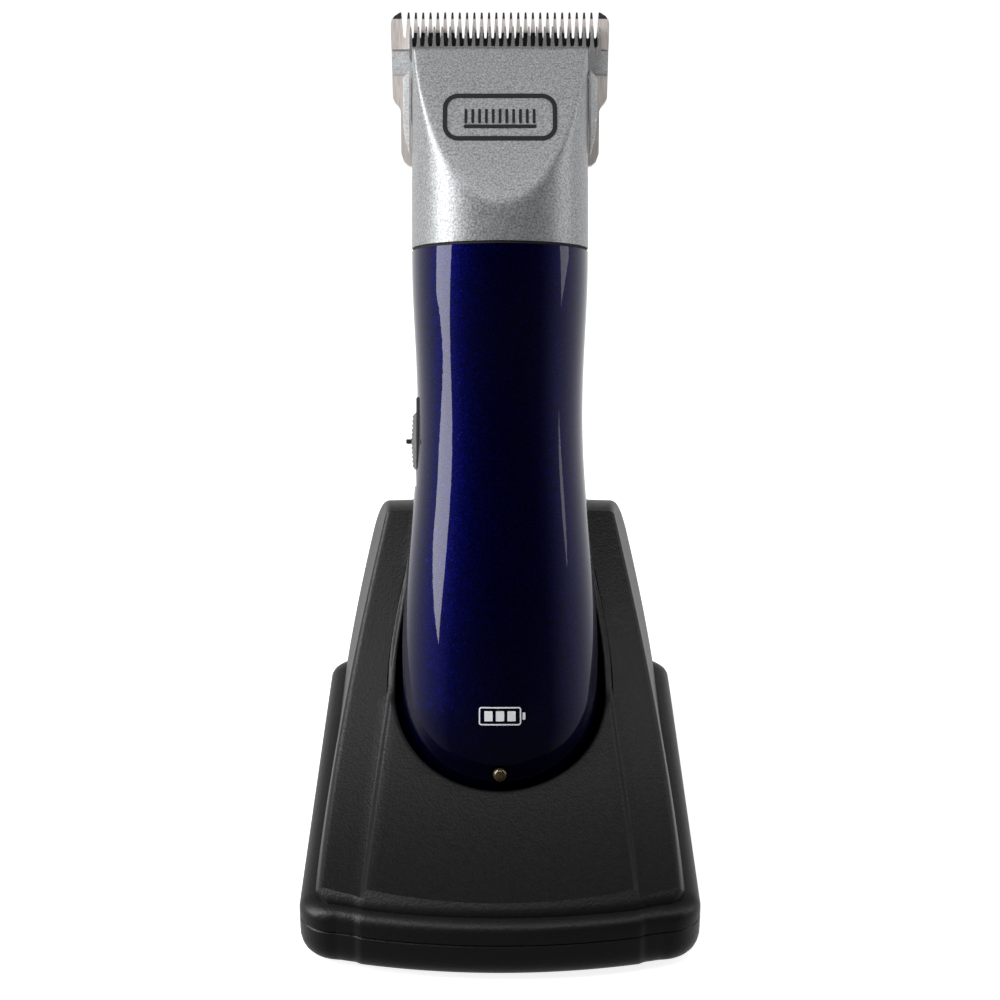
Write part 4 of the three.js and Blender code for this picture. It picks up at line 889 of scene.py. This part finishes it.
def build_latch():
    """The blade latch: a grooved button on a wide foot."""
    low, high = local_box("blade_latch")
    button = block((-4.2, 4.2), (low[1] + 1, high[1]), (low[2], high[2]))
    latch = make_piece("blade_latch_button", *button)
    bevel(latch, 0.5, 3)
    for z in np.linspace(low[2] + 1.2, high[2] - 1.2, 4):
        cut(latch, rod(0.3, (-3.2, high[1] + 0.05, z), (3.2, high[1] + 0.05, z), 12))
    join(latch, block((low[0], high[0]), (low[1], low[1] + 1.2), (low[2], high[2])))
    dress(shade(latch), "latch", "inner_plastic", "blade_latch")


def raised(name, outer, inner, surface, lift):
    """A thin raised mark on a surface: an outline in X and Z, as a ring if it has an inner outline."""
    def on(points, rise):
        dense = []
        for (x0, z0), (x1, z1) in zip(points, points[1:] + points[:1]):
            dense += [(x0 + (x1 - x0) * t, z0 + (z1 - z0) * t) for t in np.linspace(0, 1, 7)[:-1]]
        return [(x, surface(x, z) - rise, z) for x, z in dense]

    sunk = -0.05
    if inner:
        rings = [on(outer, sunk), on(outer, lift), on(inner, lift), on(inner, sunk)]
        shape = closed_band([list(section) for section in zip(*rings)])
    else:
        shape = loft([on(outer, sunk), on(outer, lift)])
    return shade(make_piece(name, *shape))


def build_marks():
    """A plain frame with a row of comb-tooth ticks on the head, and a battery sign over the indicator."""
    def at(points, x, z):
        return [(px + x, pz + z) for px, pz in points]

    def facet(x, z):
        return facet_setback(z)

    def skin(x, z):
        round_in = math.sqrt(1 - max(0, (END_RISE - z) / END_RISE) ** 2)
        a, b = (float(body_half(np.array(z), axis)) * round_in for axis in (0, 1))
        return -b * math.sqrt(1 - (x / a) ** 2)

    ink = plain("black_ink", (0.004, 0.004, 0.004), 0.6)
    pale = plain("pale_ink", (0.75, 0.76, 0.78), 0.4)

    def on_head(name, outer, inner=None):
        dress(raised(name, outer, inner, facet, 0.12), "clipper", "inner_plastic", material=ink)

    def on_handle(name, outer, inner=None):
        dress(raised(name, outer, inner, skin, 0.05), "clipper", "led_clear", material=pale)

    centre, level = 155.3, 24.2
    on_head("head_mark_frame", *(at(rounded(12.6 - d, 5.5 - d, 3.4 - d), 0, centre) for d in (0, 1)))
    on_head("head_mark_bar", at(rounded(8.0, 0.4, 0.35), 0, centre - 2.2))
    for i in range(11):
        on_head(f"head_mark_tick_{i + 1}", at(rounded(0.32, 1.7, 0.3, 4), (i - 5) * 1.5, centre + 0.2))
    on_handle("battery_mark_case", *(at(rounded(4.6 - d, 2.0 - d, 0.6 - d), 0, level) for d in (0, 0.3)))
    on_handle("battery_mark_nub", at(rounded(0.3, 0.8, 0.2), 5.2, level))
    for i in range(3):
        on_handle(f"battery_mark_bar_{i + 1}", at(rounded(0.9, 1.1, 0.15), (i - 1) * 2.5, level))


# ---------------------------------------------------------------- the stand
SHOULDER_HEIGHT, SHOULDER_INSET = 14, 3.3
TOWER_HEIGHT, TOWER_SETBACK = 70, 86
RIDGE, TOWER_RIDGE, CREASE, TOWER_CREASE = 38.7, 26.6, 28.8, 19
BAND_PROUD, DECK_STRAIGHT = 1.2, 0.307
FRONT_ARC, CORNER = 135, 8
POCKET_CLEARANCE, STAND_WALL = 1.5, 2.4


def front_setback(x):
    """How far back the front edge is: a shallow arc, with a small step outside the creases."""
    return FRONT_ARC - math.sqrt(FRONT_ARC**2 - x * x) + 0.5 * ease((abs(x) - CREASE - 0.2) / 1.6)


def plan_outline(inset):
    """The stand's plan drawn in by an inset: the front's arc, straight sides and round corners."""
    half = STAND_WIDTH / 2 - inset
    r = max(CORNER - inset / 2, 1)
    points = [(x, inset + front_setback(x)) for x in np.linspace(-(half - r), half - r, 121)]
    side_y = points[-1][1] + r
    rear_y = STAND_LENGTH - inset - r

    def corner(cx, cy, start):
        for i in range(1, 17):
            a = start + (math.pi / 2) * i / 16
            points.append((cx + r * math.cos(a), cy + r * math.sin(a)))

    corner(half - r, side_y, -math.pi / 2)
    points.extend((half, y) for y in np.linspace(side_y, rear_y, 30)[1:-1])
    corner(half - r, rear_y, 0)
    corner(-half + r, rear_y, math.pi / 2)
    points.extend((-half, y) for y in np.linspace(rear_y, side_y, 30)[1:-1])
    corner(-half + r, side_y, math.pi)
    return points[:-1]


def plan_stack(levels):
    """A solid of the stand's plan, from (inset, height) pairs."""
    return loft([[(x, y, z) for x, y in plan_outline(inset)] for inset, z in levels])


def deck_top(y):
    """Along the stand: the height beside the raised band, and the half widths of the ridges and creases."""
    rise = max(0.0, y / TOWER_SETBACK)
    fall = min(max((y - TOWER_SETBACK) / (STAND_LENGTH - 2 - TOWER_SETBACK), 0), 1)
    tall = TOWER_HEIGHT - SHOULDER_HEIGHT
    if rise < 1:
        top = SHOULDER_HEIGHT + tall * (DECK_STRAIGHT * rise + (1 - DECK_STRAIGHT) * rise**2.25)
    else:
        top = SHOULDER_HEIGHT + tall * (1 - fall**2.2) ** (1 / 2.2)
    rise = min(rise, 1)
    ridge = RIDGE + (TOWER_RIDGE - RIDGE) * rise**2.4 + 8 * fall**2
    crease = CREASE + (TOWER_CREASE - CREASE) * rise**1.8 + 8 * fall**2
    return top, ridge, crease


def deck_section(y, inset):
    """The deck's outline across the stand, drawn in by an inset, with its sides down to the tray."""
    top, ridge, crease = (value - inset for value in deck_top(y))
    low = SHOULDER_HEIGHT - 3
    foot = STAND_WIDTH / 2 - SHOULDER_INSET - inset
    half = [(crease * t, top + BAND_PROUD) for t in (0.0, 0.25, 0.5, 0.75, 0.9)]
    for t in np.linspace(0, 1, 7):
        half.append((crease - 0.8 + 1.6 * t, top + BAND_PROUD * (1 - ease(t))))
    half += [(crease + 0.8 + (ridge - 3 - crease) * t, top - 0.15 * t) for t in (0.3, 0.6, 0.9)]
    round_edge = 1.6
    lean = math.atan2(foot - ridge, max(top - low, 2))
    for t in np.linspace(0, 1, 8):
        a = (math.pi / 2 - lean) * t
        x, z = ridge - round_edge, top - 0.15 - round_edge
        half.append((x + round_edge * math.sin(a), z + round_edge * math.cos(a)))
    start_x, start_z = half[-1]
    for t in np.linspace(0, 1, 14)[1:]:
        half.append((start_x + (foot - start_x) * t + 1.6 * t * (1 - t), start_z + (low - start_z) * t))
    half.append((foot, 3.8))
    left = [(-x, z) for x, z in reversed(half[1:])]
    return [(x, y, z) for x, z in half + left]


def deck_form(inset, step=0.9):
    """A solid under the deck, from before the front edge to behind the rear one."""
    ys = np.arange(-4, STAND_LENGTH + 4, step)
    return loft([deck_section(y, inset) for y in ys])


def deck_height(x, y):
    """Height of the deck's surface over a point of the plan."""
    top, _, crease = deck_top(y)
    return top + BAND_PROUD * (1 - ease((abs(x) - crease + 0.8) / 1.6))


def pocket_form(inset, sides=144):
    """The handle's form with room round it, carried straight up from its widest level."""
    def widest(z, axis):
        return HIP[axis] / 2

    verts, faces = handle_form(inset, HANDLE_LENGTH, sides, 6.0, widest)
    lean = STAND.inverted() @ CLIPPER
    return [lean @ Vector(v) for v in verts], faces


def pocket_flare(radius=1.1, sides=180):
    """The pocket's rounded rim: a ring-shaped cutter along the line where the pocket meets the deck."""
    lean = STAND.inverted() @ CLIPPER
    half_width, half_depth = HIP[0] / 2 + POCKET_CLEARANCE, HIP[1] / 2 + POCKET_CLEARANCE
    sections = []
    for i in range(sides):
        a = 2 * math.pi * i / sides

        def wall(level):
            drop = min(max((END_RISE - level) / (END_RISE + POCKET_CLEARANCE), 0), 1)
            k = math.sqrt(1 - drop**2)
            return lean @ Vector((half_width * k * math.cos(a), half_depth * k * math.sin(a), level))

        low, high = -1.0, 150.0
        for _ in range(40):
            level = (low + high) / 2
            point = wall(level)
            if point.z > deck_height(point.x, point.y):
                high = level
            else:
                low = level
        rim = wall(low)
        down = (wall(low - 0.3) - rim).normalized()
        away = (rim - (lean @ Vector((0, 0, low)))).normalized()
        beside = rim + away * 1.2
        along = Vector((beside.x, beside.y, deck_height(beside.x, beside.y))) - rim
        along.normalize()
        corner = down.angle(along)
        into_pocket = -(along - along.dot(down) * down).normalized()
        over_deck = -(down - down.dot(along) * along).normalized()
        reach = radius / math.tan(corner / 2)
        centre = rim + (down + along).normalized() * radius / math.sin(corner / 2)
        start, end = rim + down * reach, rim + along * reach
        section = [start + down * 0.4 + into_pocket * 0.05]
        for t in np.linspace(0, 1, 9):
            spoke = (start - centre).normalized().slerp((end - centre).normalized(), t)
            section.append(centre + spoke * radius)
        section += [end + along * 0.4 + over_deck * 0.05, rim + over_deck * 2 + along * 0.5,
                    rim + into_pocket * 2 + over_deck * 2, rim + into_pocket * 1.2 + down * 0.5]
        sections.append([tuple(p) for p in section])
    return closed_band(sections)


def front_edge():
    """What is in front of the deck's rounded front edge."""
    profile = [(-8, 13.6), (3.3, 13.6), (3.35, 14.2), (3.7, 14.9), (4.3, 15.6), (5.2, 16.4), (6.4, 17.6),
               (8, 20), (8, 40), (-8, 40)]
    return loft([[(x, front_setback(x) + y, z) for y, z in profile] for x in np.linspace(-46, 46, 93)])


def build_stand():
    """The base's top with its pocket, hollow from below, and the tray."""
    plan_room = SHOULDER_INSET + STAND_WALL
    over_tower = TOWER_HEIGHT + 9
    lip = [(0, TRAY_SEAM + 0.3), (0, 11.1), (0.15, 11.9), (0.5, 12.6), (1.1, 13.15), (2.0, 13.6),
           (3.2, 13.85), (SHOULDER_INSET + 1, 13.9)]
    skirt = [(STAND_WALL, TRAY_SEAM - 1.6), (STAND_WALL, SHOULDER_HEIGHT - 3)]
    deck_plan = plan_stack([(SHOULDER_INSET, TRAY_SEAM + 0.3), (SHOULDER_INSET, over_tower)])
    room_plan = plan_stack([(plan_room, TRAY_SEAM - 1), (plan_room, over_tower)])
    top = make_piece("base_top_skin", *deck_form(0), STAND)
    trim_to(top, deck_plan, STAND)
    cut(top, front_edge(), STAND)
    join(top, plan_stack(lip), STAND)
    inner = make_piece("inner", *deck_form(STAND_WALL, 3.0), STAND)
    trim_to(inner, room_plan, STAND)
    join(inner, plan_stack(skirt), STAND)
    cut(inner, pocket_form(-POCKET_CLEARANCE - STAND_WALL, 96), STAND)
    merge(top, inner, "DIFFERENCE")
    cut(top, pocket_form(-POCKET_CLEARANCE), STAND)
    cut(top, pocket_flare(), STAND)
    jack_low, jack_high = local_box("dc_jack", STAND)
    jack_hole = block((jack_low[0] - 0.3, jack_high[0] + 0.3), (jack_low[1] - 2, FAR),
                      (jack_low[2] - 0.3, jack_high[2] + 0.3))
    cut(top, jack_hole, STAND)
    for pin in ("contact_pin_left", "contact_pin_right"):
        low, high = local_box(pin)
        x, y, _ = (low + high) / 2
        cut(top, rod(1.4, (x, y, low[2] - 6), (x, y, high[2] + 2)))
    dress(shade(top, 26), "stand", "stand_plastic", "base_top")

    levels = [(3.4, 0.8), (2.2, 1.0), (1.3, 1.6), (0.7, 2.4), (0.3, 3.4), (0.05, 4.6), (0, 6),
              (0, TRAY_SEAM - 0.25), (0.25, TRAY_SEAM)]
    tray = make_piece("base_tray_skin", *plan_stack(levels), STAND)
    cut(tray, plan_stack([(STAND_WALL, 3.2), (STAND_WALL, TRAY_SEAM + 1)]), STAND)
    cut(tray, jack_hole, STAND)
    for corner in CORNERS:
        low, high = local_box("foot_" + corner, STAND)
        x, y, _ = (low + high) / 2
        cut(tray, rod(5.3, (x, y, -1), (x, y, high[2] + 0.3)), STAND)
    for corner in CORNERS:
        x, y, _ = sum(local_box("tray_screw_" + corner, STAND)) / 2
        for radius, depth in ((1.6, 4.2), (2.9, 2.0)):
            cut(tray, rod(radius, (x, y, -1), (x, y, depth)), STAND)
    dress(shade(tray, 26), "stand", "stand_plastic", "base_tray")


# ---------------------------------------------------------------- studio
def build_studio():
    """A white floor, two tall side lights, one from above in front, and a world that is bright behind."""
    half = 3.0
    corners = [(-half, -half, 0), (half, -half, 0), (half, half, 0), (-half, half, 0)]
    floor = make_piece("studio_floor", corners, [(0, 1, 2, 3)], Matrix.Identity(4))
    material, _, _ = new_material(
        "studio_floor", Base_Color=(0.85, 0.85, 0.85, 1), Roughness=0.6, Emission_Color=(1, 1, 1, 1),
        Emission_Strength=0.85)
    floor.data.materials.append(material)
    floor.visible_glossy = False

    def area(name, place, size, power):
        light = bpy.data.lights.new(name, "AREA")
        light.shape = "RECTANGLE"
        light.size, light.size_y = size
        light.energy = power
        lamp = bpy.data.objects.new(name, light)
        lamp.location = place
        lamp.rotation_euler = (Vector((0, 0, 0.11)) - lamp.location).to_track_quat("-Z", "Y").to_euler()
        lamp.visible_camera = False
        bpy.context.collection.objects.link(lamp)

    area("side_panel_of_light_left", (-0.6, -0.12, 0.5), (0.3, 0.8), 5.6)
    area("side_panel_of_light_right", (0.6, 0.02, 0.5), (0.2, 0.8), 1.1)
    area("overhead", (0, -0.3, 0.9), (0.8, 0.3), 1.3)

    world = bpy.data.worlds.new("studio")
    bpy.context.scene.world = world
    world.use_nodes = True
    tree = world.node_tree
    tree.nodes["Background"].inputs["Color"].default_value = (1, 1, 1, 1)
    direction = tree.nodes.new("ShaderNodeTexCoord")
    parts = tree.nodes.new("ShaderNodeSeparateXYZ")
    tree.links.new(direction.outputs["Generated"], parts.inputs[0])

    def fade(axis, start, end, low, high):
        node = tree.nodes.new("ShaderNodeMapRange")
        for key, value in (("From Min", start), ("From Max", end), ("To Min", low), ("To Max", high)):
            node.inputs[key].default_value = value
        tree.links.new(parts.outputs[axis], node.inputs["Value"])
        return node.outputs["Result"]

    both = tree.nodes.new("ShaderNodeMath")
    both.operation = "MULTIPLY"
    tree.links.new(fade("Y", -0.6, 0.8, 0.06, 0.9), both.inputs[0])
    tree.links.new(fade("Z", 0.12, 0.45, 1.0, 0.12), both.inputs[1])
    tree.links.new(both.outputs["Value"], tree.nodes["Background"].inputs["Strength"])


def build_camera():
    """The view straight at the clipper's front, square to its leaning axis."""
    lens_mm, sensor_mm = 82.8, 36
    distance, aim_height = 516, 71  # millimetres, from the clipper's axis and up along it
    camera = bpy.data.cameras.new("camera")
    camera.lens, camera.sensor_width = lens_mm, sensor_mm
    camera.clip_start = 0.01
    eye = bpy.data.objects.new("camera", camera)
    bpy.context.collection.objects.link(eye)
    turn = CLIPPER.to_3x3().normalized() @ Matrix.Rotation(math.pi / 2, 3, "X")
    eye.matrix_world = turn.to_4x4()
    eye.location = CLIPPER @ Vector((0, -distance, aim_height))
    bpy.context.scene.camera = eye
    bpy.context.scene.view_settings.view_transform = "Standard"


# ---------------------------------------------------------------- the model
def dress_cad_nodes():
    """Gives each CAD node the material of its finish slot."""
    for row in frame["record"]["subparts"]:
        mesh = nodes[row["node"]].data
        mesh.materials.clear()
        mesh.materials.append(MATERIALS[row["material_slot"]])


build_camera()
build_studio()
dress_cad_nodes()
build_handle()
build_head_cover()
build_gasket()
build_housing()
build_cheeks()
build_comb()
build_cutter()
build_screws()
build_feet()
build_lens()
build_contacts()
build_switch()
build_latch()
build_marks()
build_stand()
